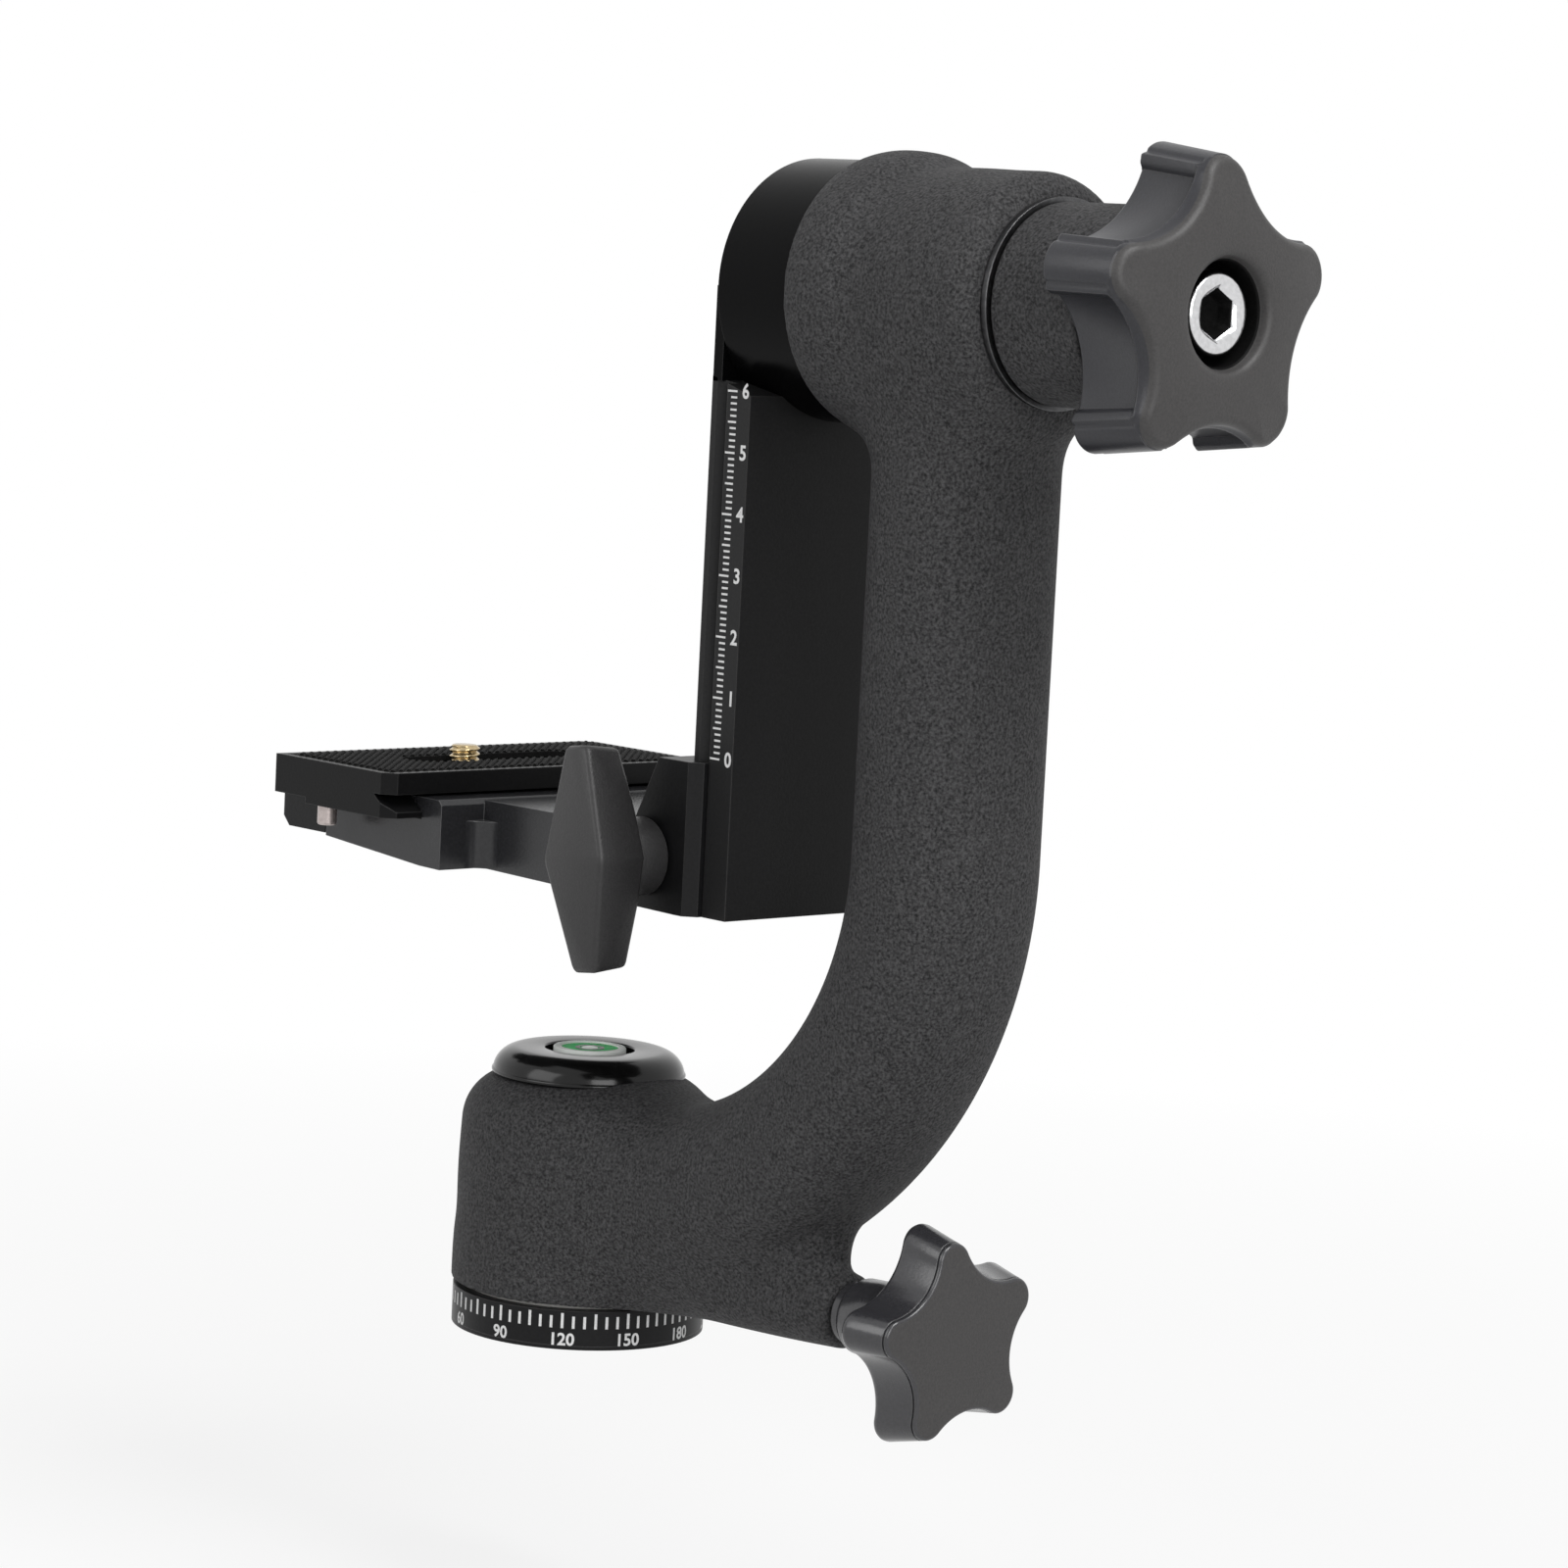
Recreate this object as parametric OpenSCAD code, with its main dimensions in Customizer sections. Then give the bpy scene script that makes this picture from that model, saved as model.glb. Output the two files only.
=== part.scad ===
// Gimbal head for a tripod: a graduated pan base, a cast C-shaped arm, a swinging
// rail on the tilt axis and a height-adjustable platform with a dovetail plate.
// Millimetres. The origin is the centre of the base's underside, on the pan axis.
// +Z is up, +X runs along the tilt axis towards the big knob, +Y is the lens direction.

/* [Base and pan bearing] */
// Diameter of the graduated ring
ring_d = 52; // [50:0.5:56]
// Wall of the graduated ring
ring_wall = 2.5; // [2:0.25:3.5]
// Height of the base plate with its ring
base_h = 8; // [7:0.5:10]
// Lip of the base plate under the ring
base_lip_h = 0.8; // [0.5:0.1:1.2]
// Core diameter of the 3/8 inch tripod thread
tripod_thread_d = 8; // [5:0.1:9]
// Depth of the tripod thread
tripod_thread_depth = 14; // [10:1:20]
// Diameter of the pan spindle
spindle_d = 20; // [18:0.5:22]
// Diameter of the spindle's foot flange
spindle_flange_d = 36; // [34:0.5:40]
// Thickness of the spindle's foot flange
spindle_flange_t = 3.2; // [2.5:0.1:4]
// Diameter of the spindle's threaded neck
spindle_neck_d = 16; // [14:0.5:17]
// Thickness of the pan thrust washer
pan_washer_t = 0.7; // [0.5:0.1:1.5]
// Wall of the pan bush
pan_bush_wall = 3; // [2:0.5:4]
// Length of the pan bush
pan_bush_len = 31; // [28:0.5:33]
// Thickness of the washer under the spindle nut
nut_washer_t = 1.5; // [1:0.1:2]
// Height of the spindle nut
nut_h = 4.5; // [3.5:0.5:5]
// Diameter of the spindle nut
nut_d = 25; // [22:0.5:28]

/* [Level cap] */
// Height at which the cap sits on the casting
cap_seat_h = 50; // [49:0.5:54]
// Height of the cap above its seat
cap_h = 7.6; // [7:0.1:9]
// Largest diameter of the cap
cap_d = 42; // [38:0.2:44]
// Diameter of the cap's flat top
cap_top_d = 31; // [28:0.2:33]
// Diameter of the window in the cap
cap_window_d = 18.4; // [17:0.2:22]
// Depth of the window in the cap
cap_window_depth = 4.6; // [4.4:0.1:5]
// Diameter of the cap's plug in the casting
cap_plug_d = 31; // [29:0.2:33]
// Diameter of the bubble level
level_d = 15.2; // [13:0.2:16]
// Wall of the bubble level's cup
level_wall = 1.6; // [1.2:0.1:2]
// Height of the bubble level's cup
level_h = 4.0; // [3.4:0.1:4.1]
// Rise of the level's clear lens
level_lens_h = 0.5; // [0.4:0.1:0.8]

/* [Arm casting] */
// Distance from the pan axis to the arm's column
arm_reach = 101.8; // [98:0.1:110]
// Height of the tilt axis above the tripod
tilt_h = 215.5; // [205:0.5:230]
// Height of the arm's lower run at the housing
arm_root_h = 30.8; // [30:0.2:32]
// Distance from the pan axis to the start of the bend
bend_start = 14; // [8:1:24]
// Height at which the bend runs into the column
bend_end_h = 110; // [100:1:125]
// Depth of the arm at the housing
arm_root_depth = 37.4; // [34:0.2:40]
// Depth of the column along X
arm_depth = 32; // [28:0.5:36]
// Width of the arm along Y
arm_width = 36; // [32:0.5:40]
// Diameter of the pan housing at its foot
housing_d = 52.8; // [52:0.2:56]
// Draw-in of the housing's wall above its foot
housing_waist = 1.0; // [0.6:0.1:2]
// Diameter of the housing's top
housing_top_d = 43; // [42:0.2:46]
// Distance from the pan axis to the rear face of the tilt hub
hub_back = 77.8; // [76:0.2:80]
// Length of the tilt hub
hub_len = 45.2; // [42:0.2:48]
// Diameter of the hub's rear flange
hub_flange_d = 53.6; // [52:0.2:58]
// Width of the hub's rear flange
hub_flange_w = 16; // [14:0.5:22]
// Diameter of the hub's front barrel
hub_d = 48; // [46:0.5:51]
// Radius of the rounded edges of the hub
hub_round = 6; // [4:0.5:7]
// Outer diameter of the tilt bushes
tilt_bush_d = 24; // [22.5:0.5:28]
// Length of each tilt bush
tilt_bush_len = 16; // [12:0.5:20]
// Depth at which the tilt bushes sit inside the hub
tilt_bush_inset = 0.6; // [0.4:0.1:1.5]

/* [Pan lock] */
// Height of the pan lock's screw
pan_lock_h = 18.4; // [17.4:0.2:19.4]
// Distance from the pan axis to the end of the lock boss
boss_end = 82.4; // [78:0.2:85]
// Diameter of the lock boss at its end
boss_d = 14.6; // [13.4:0.2:15.4]
// Diameter of the lock boss at its root
boss_root_d = 17; // [16:0.2:18]
// Height of the web that joins the boss to the elbow
boss_web_h = 23; // [20:0.5:25]
// Diameter of the lock screws
lock_stud_d = 6; // [5:0.5:6]
// Diameter of the brake pad
pad_d = 6.4; // [6:0.1:7]
// Length of the brake pad
pad_len = 8; // [6:0.5:10]
// Outer diameter of the threaded insert
insert_d = 9; // [8:0.5:10]
// Length of the threaded insert
insert_len = 24; // [16:1:28]
// Setback of the web's top from the end of the boss
boss_web_lean = 5; // [3:0.5:9]
// Diameter over the lobes of the pan knob
pan_knob_d = 45; // [40:0.5:48]
// Thickness of the pan knob's star
pan_knob_t = 9.4; // [8:0.2:12]
// Diameter of the pan knob's neck
pan_neck_d = 15; // [14:0.5:18]
// Length of the pan knob's neck
pan_neck_len = 20.4; // [18:0.2:24]

/* [Tilt axis] */
// Distance from the pan axis to the rear face of the swinging rail
swing_back = 54.2; // [52:0.2:56]
// Diameter of the swing arm's round head
swing_d = 48.4; // [47:0.2:52]
// Diameter of the tilt spindle
tilt_spindle_d = 18; // [16:0.5:18.5]
// Diameter of the tilt spindle's threaded end
tilt_thread_d = 14; // [13:0.5:15]
// Diameter of the tilt spindle's flange
tilt_flange_d = 34; // [31:0.5:36]
// Thickness of the tilt spindle's flange
tilt_flange_t = 4; // [3.5:0.5:5]
// Depth of the flange below the rear face
tilt_flange_recess = 1.5; // [1:0.25:2.5]
// Thickness of the tilt thrust washer
tilt_washer_t = 0.45; // [0.3:0.05:0.8]
// Diameter of the bright washer at the hub's front
steel_washer_d = 39.4; // [37:0.2:42]
// Thickness of the bright washer at the hub's front
steel_washer_t = 1.4; // [1:0.1:2]
// Diameter of the friction disc
disc_d = 37.6; // [34:0.2:40]
// Thickness of the friction disc
disc_t = 21.6; // [20:0.2:26]
// Diameter over the lobes of the tilt knob
tilt_knob_d = 61.6; // [56:0.2:66]
// Thickness of the tilt knob at its middle
tilt_knob_t = 18.8; // [17:0.2:21]
// Rise of the tilt knob's domed face
tilt_knob_crown = 2; // [1:0.2:3]
// Diameter of the knob's boss inside the friction disc
knob_boss_d = 28; // [27:0.5:30]
// Length of the knob's boss inside the friction disc
knob_boss_len = 8; // [6:0.5:10]
// Diameter of the recess in the tilt knob
knob_recess_d = 20; // [19.8:0.2:24]
// Depth of the recess in the tilt knob
knob_recess_depth = 12; // [11:0.2:13]
// Outer diameter of the tilt knob's steel insert
knob_insert_d = 23; // [22:0.5:26]
// Head diameter of the knob's socket screw
knob_screw_head_d = 15.2; // [14:0.2:17]
// Head height of the knob's socket screw
knob_screw_head_h = 5; // [4:0.2:6]
// Shank diameter of the knob's socket screw
knob_screw_d = 10; // [8:0.5:10.5]
// Length of the knob screw's shank
knob_screw_len = 18; // [14:1:22]
// Width across flats of the screw's hexagon
knob_screw_key = 8; // [6:0.5:9]
// Diameter of the washer under the screw's head
knob_washer_d = 19; // [17:0.2:19.6]
// Thickness of the washer under the screw's head
knob_washer_t = 1.4; // [1:0.1:1.8]

/* [Swinging rail] */
// Width of the rail
rail_w = 45.6; // [42:0.2:47]
// Thickness of the rail
rail_t = 11.1; // [10.4:0.1:13]
// Height of the rail's lower end
rail_end_h = 94; // [88:0.5:98]
// Width of the dovetail's edge land
rail_land = 1.4; // [1:0.1:2]
// Width of the dovetail groove along X
rail_groove_w = 3; // [2.5:0.1:3.5]
// Depth of the dovetail groove
rail_groove_depth = 2.6; // [2:0.1:3]
// Diameter of the rail's stop pin
stop_pin_d = 4; // [3:0.5:5]
// Height of the stop pin above the rail's end
stop_pin_rise = 5; // [4:0.5:8]

/* [Platform] */
// Width of the rail clamp along Y
clamp_block_w = 52; // [51:0.5:56]
// Height of the rail clamp
clamp_block_h = 30; // [28:0.5:34]
// Depth of the rail clamp's top behind the rail
clamp_block_top = 6.5; // [5:0.5:8]
// Depth of the rail clamp's foot behind the rail
clamp_block_foot = 14; // [13.5:0.5:18]
// Thickness of the rail jaw along Y
rail_jaw_t = 12.6; // [11:0.2:14]
// Width of the support arm along Y
support_w = 48; // [40:0.5:50]
// Thickness of the support arm
support_t = 15; // [14:0.5:17]
// Rise of the underside towards the free end
support_rise = 3.5; // [2:0.25:4]
// Height of the plate's bed above the rail's end
bed_h = 10.8; // [10.5:0.1:12]
// Rise of the support arm's underside at the fixed jaw
support_step = 1.2; // [0.6:0.1:1.6]
// Radius of the coves between the plate's bed and the support arm
support_cove = 5; // [3:0.5:8]
// Height of the plate clamp's screw above the rail's end
plate_screw_rise = 7.6; // [7.4:0.1:7.8]
// Distance from the pan axis to the plate's centre line
plate_reach = 33.7; // [32:0.5:40]
// Overhang of the plate beyond its clamp, at each end
plate_overhang = 7; // [6.8:0.1:8]
// Width of the clamp's fixed jaw
fixed_jaw_w = 6.5; // [5.5:0.5:8]
// Width of the clamp's moving jaw
moving_jaw_w = 8.5; // [7:0.5:10]
// Diameter of the jaw's guide pins
guide_pin_d = 5; // [4:0.5:5.5]
// Distance between the jaw's guide pins
guide_pin_span = 50; // [44:1:56]
// Length of the jaw's guide pins
guide_pin_len = 22; // [20:1:28]

/* [Wing knobs] */
// Length of the rail clamp's wing
wing_len = 44; // [36:0.5:48]
// Width of the rail clamp's wing at the middle
wing_w = 16.5; // [16:0.5:20]
// Width of a wing's ends
wing_end_w = 6; // [5:0.5:8]
// Depth of a wing at the middle
wing_depth = 11.5; // [10:0.5:13]
// Depth of a wing's ends
wing_end_depth = 8.5; // [7:0.5:10]
// Diameter of a wing's stem
wing_stem_d = 15.4; // [13:0.2:16]
// Length of a wing's stem
wing_stem_len = 7; // [5:0.5:9]
// Distance of the rail clamp's screw behind the rail
wing_setback = 9.6; // [8.4:0.2:11]
// Height of the rail clamp's screw above the rail's end
wing_rise = 10.4; // [10.2:0.1:12]
// Length of the plate clamp's wing
plate_wing_len = 38; // [32:0.5:42]
// Width of the plate clamp's wing at the middle
plate_wing_w = 12; // [12:0.5:15]
// Diameter of the plate clamp's stem
plate_stem_d = 11; // [10:0.2:12]
// Length of the plate clamp's stem
plate_stem_len = 4.5; // [4:0.5:7]

/* [Quick-release plate] */
// Width of the plate
plate_w = 38; // [36:0.2:40]
// Length of the plate
plate_len = 84; // [82:0.5:92]
// Thickness of the plate
plate_t = 9.2; // [8.8:0.1:10]
// Thickness of the plate's upper band
plate_band_t = 4.4; // [4:0.1:4.8]
// Undercut of the plate's dovetail
plate_undercut = 4.8; // [4:0.1:5]
// Height of the upright edge under the dovetail
plate_edge_h = 1.2; // [0.8:0.1:1.4]
// Length of the notch under the plate's corners
plate_notch_len = 9; // [6:0.5:12]
// Width of the notch under the plate's corners
plate_notch_w = 10.5; // [8:0.5:12]
// Height of the notch under the plate's corners
plate_notch_h = 1.3; // [1:0.1:2]
// Length of the blocks that close the dovetail at two corners
plate_block_len = 4.4; // [3:0.2:4.6]
// Chamfer of the plate's other two corners
plate_chamfer = 2.5; // [1.5:0.1:3]
// Offset of the plate from the clamp's middle
plate_shift = -1.8; // [-2.2:0.1:2.2]
// Rim of the plate round its rubber pad
plate_rim = 1.6; // [1.2:0.1:3]
// Thickness of the rubber pad
pad_t = 1.3; // [1:0.1:1.6]
// Width of the screw slot
slot_w = 7; // [6.8:0.1:8]
// Length of the screw slot
slot_len = 42; // [34:1:44]
// Diameter of the camera screw's 1/4 inch thread
camera_screw_d = 6.35; // [6.2:0.05:6.5]
// Reach of the camera screw above the plate
camera_screw_reach = 2.8; // [2.6:0.1:6]
// Diameter of the camera screw's relieved shank
camera_shank_d = 5.4; // [5:0.1:5.8]
// Diameter of the camera screw's head
camera_head_d = 15; // [13:0.5:16]
// Height of the camera screw's head
camera_head_h = 2.8; // [2.4:0.1:3]
// Thickness of the camera screw's clip
clip_t = 0.5; // [0.4:0.1:0.6]
// Offset of the camera screw from the plate's middle
camera_shift = -7.6; // [-10:0.2:10]
// Diameter of the plate's stop screws
stop_screw_d = 4; // [3:0.2:4]
// Length of the plate's stop screws below the plate
stop_screw_len = 4; // [3:0.2:5]
// Distance of the stop screws from the plate's ends
stop_screw_inset = 2.7; // [2.4:0.1:3]
// Distance of the stop screws from the plate's centre line
stop_screw_shift = 4.4; // [3:0.2:5]

/* [Hidden] */
$fn = 96;
casting_grey = "#3b3b3d";
anodised_black = "#17171a";
plastic_grey = "#46464b";
steel_grey = "#b9bcc0";
bronze_brown = "#a97b45";

// Clearances
run_gap = 0.05;      // radial, between a shaft and its bush
seat_gap = 0.02;     // radial, between a pressed piece and its seat
face_gap = 0.1;      // between faces that turn on each other
slide_gap = 0.2;     // between faces that slide on each other
open_gap = 0.4;      // between the halves of a clamp
eps = 0.01;          // overlap of joined or cut shapes

// Pan bearing
spindle_r = spindle_d / 2;
bush_r = spindle_r + pan_bush_wall;
casting_foot = base_h + pan_washer_t + face_gap;
bush_top = casting_foot + pan_bush_len;
shoulder_h = bush_top + face_gap;
nut_top = shoulder_h + nut_washer_t + nut_h;
base_screw_r = (spindle_r + spindle_flange_d / 2) / 2;
base_screw_head_d = 5.2;
base_screw_d = 3;
base_screw_len = 6;
screw_recess = 0.2;

// Level
cap_top_h = cap_seat_h + cap_h;
level_seat_h = cap_top_h - cap_window_depth;
level_floor_t = 1;

// Tilt axis, from the rear face of the rail to the face of the knob
swing_front = hub_back - face_gap - tilt_washer_t;
head_room = 2;           // round the swing arm's head, in front of the hub
groove_run = 6;          // reach of the dovetail grooves under the swing arm's head
hub_front = hub_back + hub_len;
washer_x = hub_front + face_gap;
disc_x = washer_x + steel_washer_t;
knob_x = disc_x + disc_t + face_gap;
knob_face = knob_x + tilt_knob_t;
recess_x = knob_face - knob_recess_depth;
knob_lift = 1.3;
knob_valley = 0.345;     // radius of a star knob's hollows over its diameter
knob_lobe = 0.098;       // radius of its lobes over its diameter
spindle_end = recess_x + knob_lift;
boss_x = knob_x - knob_boss_len;
thread_start = boss_x - 1.5;
flange_x = swing_back + tilt_flange_recess;
flange_screw_r = (tilt_spindle_d + tilt_flange_d) / 4;
flange_screw_head_d = 6.4;
flange_screw_d = 4;
flange_screw_len = 11;

// Rail and platform
rail_front = swing_back + rail_t;
groove_x = swing_back + rail_land;
groove_end = groove_x + rail_groove_w;
stop_pin_h = rail_end_h + stop_pin_rise;
stop_pin_reach = 3.5;
stop_pin_depth = 6;
clamp_front = swing_back - face_gap * 2;
clamp_top = rail_end_h + clamp_block_h;
clamp_tip = groove_end - slide_gap;
clamp_top_x = clamp_front - clamp_block_top;
clamp_foot_x = clamp_front - clamp_block_foot;
jaw_split = rail_jaw_t - clamp_block_w / 2;
wing_x = swing_back - wing_setback;
wing_h = rail_end_h + wing_rise;
stud_reach = 14;         // of the wing's screw past the jaw's split
stud_room = 12;          // of its hole past the jaw
support_top = rail_end_h + support_t;

// Plate and its clamp
plate_x = -plate_reach;
bed_top = rail_end_h + bed_h;
plate_bottom = bed_top + slide_gap;
plate_top = plate_bottom + plate_t;
neck_h = plate_top - plate_band_t;
flank_h = plate_bottom + plate_edge_h;
plate_edge = plate_x + plate_w / 2;
plate_clamp_len = plate_len - 2 * plate_overhang;
jaw_outer = plate_edge + fixed_jaw_w;
bed_end = plate_x - plate_w / 2 + plate_undercut + 1.5;
jaw_open = open_gap;
moving_outer = plate_x - plate_w / 2 - moving_jaw_w;
plate_screw_h = rail_end_h + plate_screw_rise;
pan_knob_x = boss_end + 0.7;

// Camera screw
channel_w = camera_head_d + 2;
channel_h = neck_h - plate_bottom;
camera_y = plate_shift + camera_shift;
head_z = neck_h - face_gap - clip_t - camera_head_h;

// Ring of a revolved piece between two radii and two heights
module ring(r_in, r_out, z0, z1) {
    translate([0, 0, z0]) difference() {
        cylinder(r = r_out, h = z1 - z0);
        translate([0, 0, -1]) cylinder(r = r_in, h = z1 - z0 + 2);
    }
}

// Places what is drawn along +Z so that it runs along +X on the tilt axis
module on_tilt_axis() {
    translate([0, 0, tilt_h]) rotate([0, 90, 0]) children();
}

// Rectangle with round corners, centred
module rounded_rect(w, h, r) {
    square([w - 2 * r, h], center = true);
    square([w, h - 2 * r], center = true);
    for (x = [-1, 1], y = [-1, 1]) translate([x * (w / 2 - r), y * (h / 2 - r)]) circle(r = r);
}

// Countersunk screw along +Z with its head's face at z = 0
module countersunk_screw(d, head_d, len) {
    cone_h = (head_d - d) / 2;
    difference() {
        union() {
            cylinder(d1 = head_d, d2 = d, h = cone_h);
            cylinder(d = d, h = len);
        }
        translate([0, 0, -1]) cylinder(d = d * 0.6, h = 1 + cone_h * 0.7, $fn = 6);
    }
}

// Hole for a countersunk screw, opened up by a radial gap
module countersunk_hole(d, head_d, len, gap) {
    cone_h = (head_d - d) / 2;
    cylinder(d1 = head_d + 2 * gap, d2 = d + 2 * gap, h = cone_h);
    cylinder(d = d + 2 * gap, h = len);
    translate([0, 0, -2]) cylinder(d = head_d + 2 * gap, h = 2 + eps);
}

module base_screw_places() {
    for (a = [30, 150, 270]) rotate(a) translate([base_screw_r, 0, screw_recess]) children();
}

module flange_screw_places() {
    on_tilt_axis() for (a = [45:90:315]) rotate(a)
        translate([flange_screw_r, 0, flange_x + screw_recess]) children();
}

module base_plate() {
    color(anodised_black) difference() {
        union() {
            cylinder(d = ring_d, h = base_lip_h);
            cylinder(d = ring_d - 2 * ring_wall, h = base_h);
        }
        translate([0, 0, -1]) cylinder(r = spindle_r + seat_gap, h = base_h + 2);
        translate([0, 0, -1]) cylinder(d = spindle_flange_d + 2 * seat_gap, h = spindle_flange_t + 1);
        base_screw_places() cylinder(d = base_screw_d + 2 * seat_gap, h = base_screw_len);
    }
}

module degree_ring() {
    color(anodised_black) ring(ring_d / 2 - ring_wall + seat_gap, ring_d / 2, base_lip_h, base_h);
}

module pan_spindle() {
    color(steel_grey) difference() {
        union() {
            cylinder(d = spindle_flange_d, h = spindle_flange_t);
            cylinder(r = spindle_r, h = shoulder_h);
            cylinder(d = spindle_neck_d, h = nut_top);
        }
        translate([0, 0, -1]) cylinder(d = tripod_thread_d, h = tripod_thread_depth + 1);
        base_screw_places() countersunk_hole(base_screw_d, base_screw_head_d, base_screw_len, seat_gap);
    }
}

module base_screws() {
    color(steel_grey) base_screw_places()
        countersunk_screw(base_screw_d, base_screw_head_d, base_screw_len);
}

module pan_thrust_washer() {
    color("#e8e6df") ring(bush_r, ring_d / 2 - ring_wall, base_h, base_h + pan_washer_t);
}

module nut_washer() {
    color(steel_grey) ring(spindle_neck_d / 2 + seat_gap, nut_d / 2, shoulder_h, shoulder_h + nut_washer_t);
}

module spindle_nut() {
    slot = 3;
    color(steel_grey) difference() {
        ring(spindle_neck_d / 2 + seat_gap, nut_d / 2, shoulder_h + nut_washer_t, nut_top);
        for (a = [0:90:270]) rotate(a)
            translate([nut_d / 2 - 2, -slot / 2, shoulder_h + nut_washer_t + 2])
            cube([slot, slot, nut_h]);
    }
}

// Centre line of the arm: a quarter of an ellipse from the lower run to the column,
// with the angle q running from 0 at the lower run to 90 at the column
bend_a = arm_reach - bend_start;
bend_b = bend_end_h - arm_root_h;
function bend_point(q) = [bend_start + bend_a * sin(q), bend_end_h - bend_b * cos(q)];
function bend_angle(q) = atan2(bend_b * sin(q), bend_a * cos(q));
function depth_at(q) = arm_root_depth + (arm_depth - arm_root_depth) * (1 - pow(cos(q), 2));
bend_steps = 18;
arm_sides = 28;
arm_stations = concat(
    [[[0, arm_root_h], 0, arm_root_depth]],
    [for (i = [0:bend_steps]) let (q = 90 * i / bend_steps) [bend_point(q), bend_angle(q), depth_at(q)]],
    [[[arm_reach, tilt_h], 90, arm_depth]]
);
// Oval section, a little squarer than an ellipse
section_power = 0.86;
function oval(v) = sign(v) * pow(abs(v), section_power);
function arm_ring(s) = [for (k = [0:arm_sides - 1]) let (
    a = 360 * (k + 0.5) / arm_sides,
    n = s[2] / 2 * oval(cos(a)),
    w = arm_width / 2 * oval(sin(a))
) [s[0][0] - n * sin(s[1]), w, s[0][1] + n * cos(s[1])]];

// Tube swept through a list of rings, closed at both ends
module swept(rings) {
    sides = len(rings[0]);
    count = len(rings);
    polyhedron(
        points = [for (r = rings) each r],
        faces = concat(
            [[for (k = [sides - 1:-1:0]) k]],
            [for (i = [0:count - 2], k = [0:sides - 1]) let (
                a = i * sides + k, b = i * sides + (k + 1) % sides
            ) each [[a, b, b + sides], [a, b + sides, a + sides]]],
            [[for (k = [0:sides - 1]) (count - 1) * sides + k]]
        )
    );
}

// Pan housing: a flared foot, a drawn-in wall and a rounded shoulder
module housing_shape() {
    foot_h = 9;
    foot_cove_r = 24;
    shoulder_r = 7;
    wall_r = housing_d / 2 - housing_waist;
    top_h = cap_seat_h - casting_foot;
    rotate_extrude() {
        difference() {
            square([housing_d / 2, foot_h]);
            translate([housing_d / 2 + foot_cove_r, foot_h]) circle(r = foot_cove_r + housing_waist * 0.35);
        }
        square([wall_r, top_h - shoulder_r]);
        square([housing_top_d / 2 - 1, top_h]);
        intersection() {
            square([wall_r, top_h]);
            translate([wall_r - shoulder_r, top_h - shoulder_r]) circle(r = shoulder_r);
        }
        square([wall_r - shoulder_r, top_h]);
    }
}

// Tilt hub along +Z: a swollen rear flange and a barrel with a rounded front
module hub_shape() {
    rotate_extrude() {
        translate([0, hub_flange_w / 2]) intersection() {
            rounded_rect(hub_flange_d, hub_flange_w, hub_round);
            translate([0, -hub_flange_w]) square([hub_flange_d, 2 * hub_flange_w]);
        }
        translate([0, hub_len / 2]) intersection() {
            rounded_rect(hub_d, hub_len, hub_round);
            translate([0, -hub_len]) square([hub_d, 2 * hub_len]);
        }
    }
}

module arm_casting() {
    color(casting_grey) difference() {
        union() {
            translate([0, 0, casting_foot]) housing_shape();
            swept([for (s = arm_stations) arm_ring(s)]);
            translate([hub_back, 0, tilt_h]) rotate([0, 90, 0]) hub_shape();
            translate([0, 0, pan_lock_h]) rotate([0, 90, 0])
                cylinder(d1 = boss_root_d, d2 = boss_d, h = boss_end);
            across(-boss_d / 2, boss_d / 2) translate([0, pan_lock_h]) polygon([
                [boss_end / 3, 0], [boss_end, 0], [boss_end - boss_web_lean, boss_web_h],
                [boss_end / 3, boss_web_h]
            ]);
        }
        translate([0, 0, -1]) cylinder(d = ring_d + 1, h = casting_foot + 1);
        on_tilt_axis() cylinder(d = swing_d + 2 * head_room, h = hub_back);
        cylinder(r = bush_r + seat_gap, h = bush_top);
        translate([0, 0, bush_top]) cylinder(d = cap_plug_d + 2 * seat_gap, h = cap_seat_h);
        on_tilt_axis() translate([0, 0, hub_back - 1])
            cylinder(d = tilt_bush_d + 2 * seat_gap, h = hub_len + 2);
        translate([0, 0, pan_lock_h]) rotate([0, 90, 0]) cylinder(d = pad_d + 2 * run_gap, h = boss_end);
        translate([boss_end - insert_len, 0, pan_lock_h]) rotate([0, 90, 0])
            cylinder(d = insert_d + 2 * seat_gap, h = insert_len + 1);
    }
}

module pan_bush() {
    color(bronze_brown) difference() {
        ring(spindle_r + run_gap, bush_r, casting_foot, bush_top);
        translate([0, 0, pan_lock_h]) rotate([0, 90, 0])
            cylinder(d = pad_d + 2 * run_gap, h = bush_r + 1);
    }
}

module level_cap() {
    edge = 1.2;
    rim_h = 2.6;
    color("#0d0d0e") difference() {
        union() {
            translate([0, 0, nut_top + 1]) cylinder(d = cap_plug_d, h = cap_seat_h - nut_top - 1 + eps);
            translate([0, 0, cap_seat_h]) rotate_extrude() polygon([
                [0, 0], [cap_d / 2 - edge, 0], [cap_d / 2, edge], [cap_d / 2, rim_h],
                [cap_d / 2 - edge, rim_h + edge], [cap_top_d / 2 + edge, cap_h - edge / 2],
                [cap_top_d / 2, cap_h], [0, cap_h]
            ]);
        }
        translate([0, 0, level_seat_h]) cylinder(d = cap_window_d, h = cap_h);
        translate([0, 0, cap_top_h - edge])
            cylinder(d1 = cap_window_d, d2 = cap_window_d + 2 * edge, h = edge + eps);
        translate([0, 0, nut_top]) cylinder(d = spindle_neck_d, h = 2);
    }
}

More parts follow.
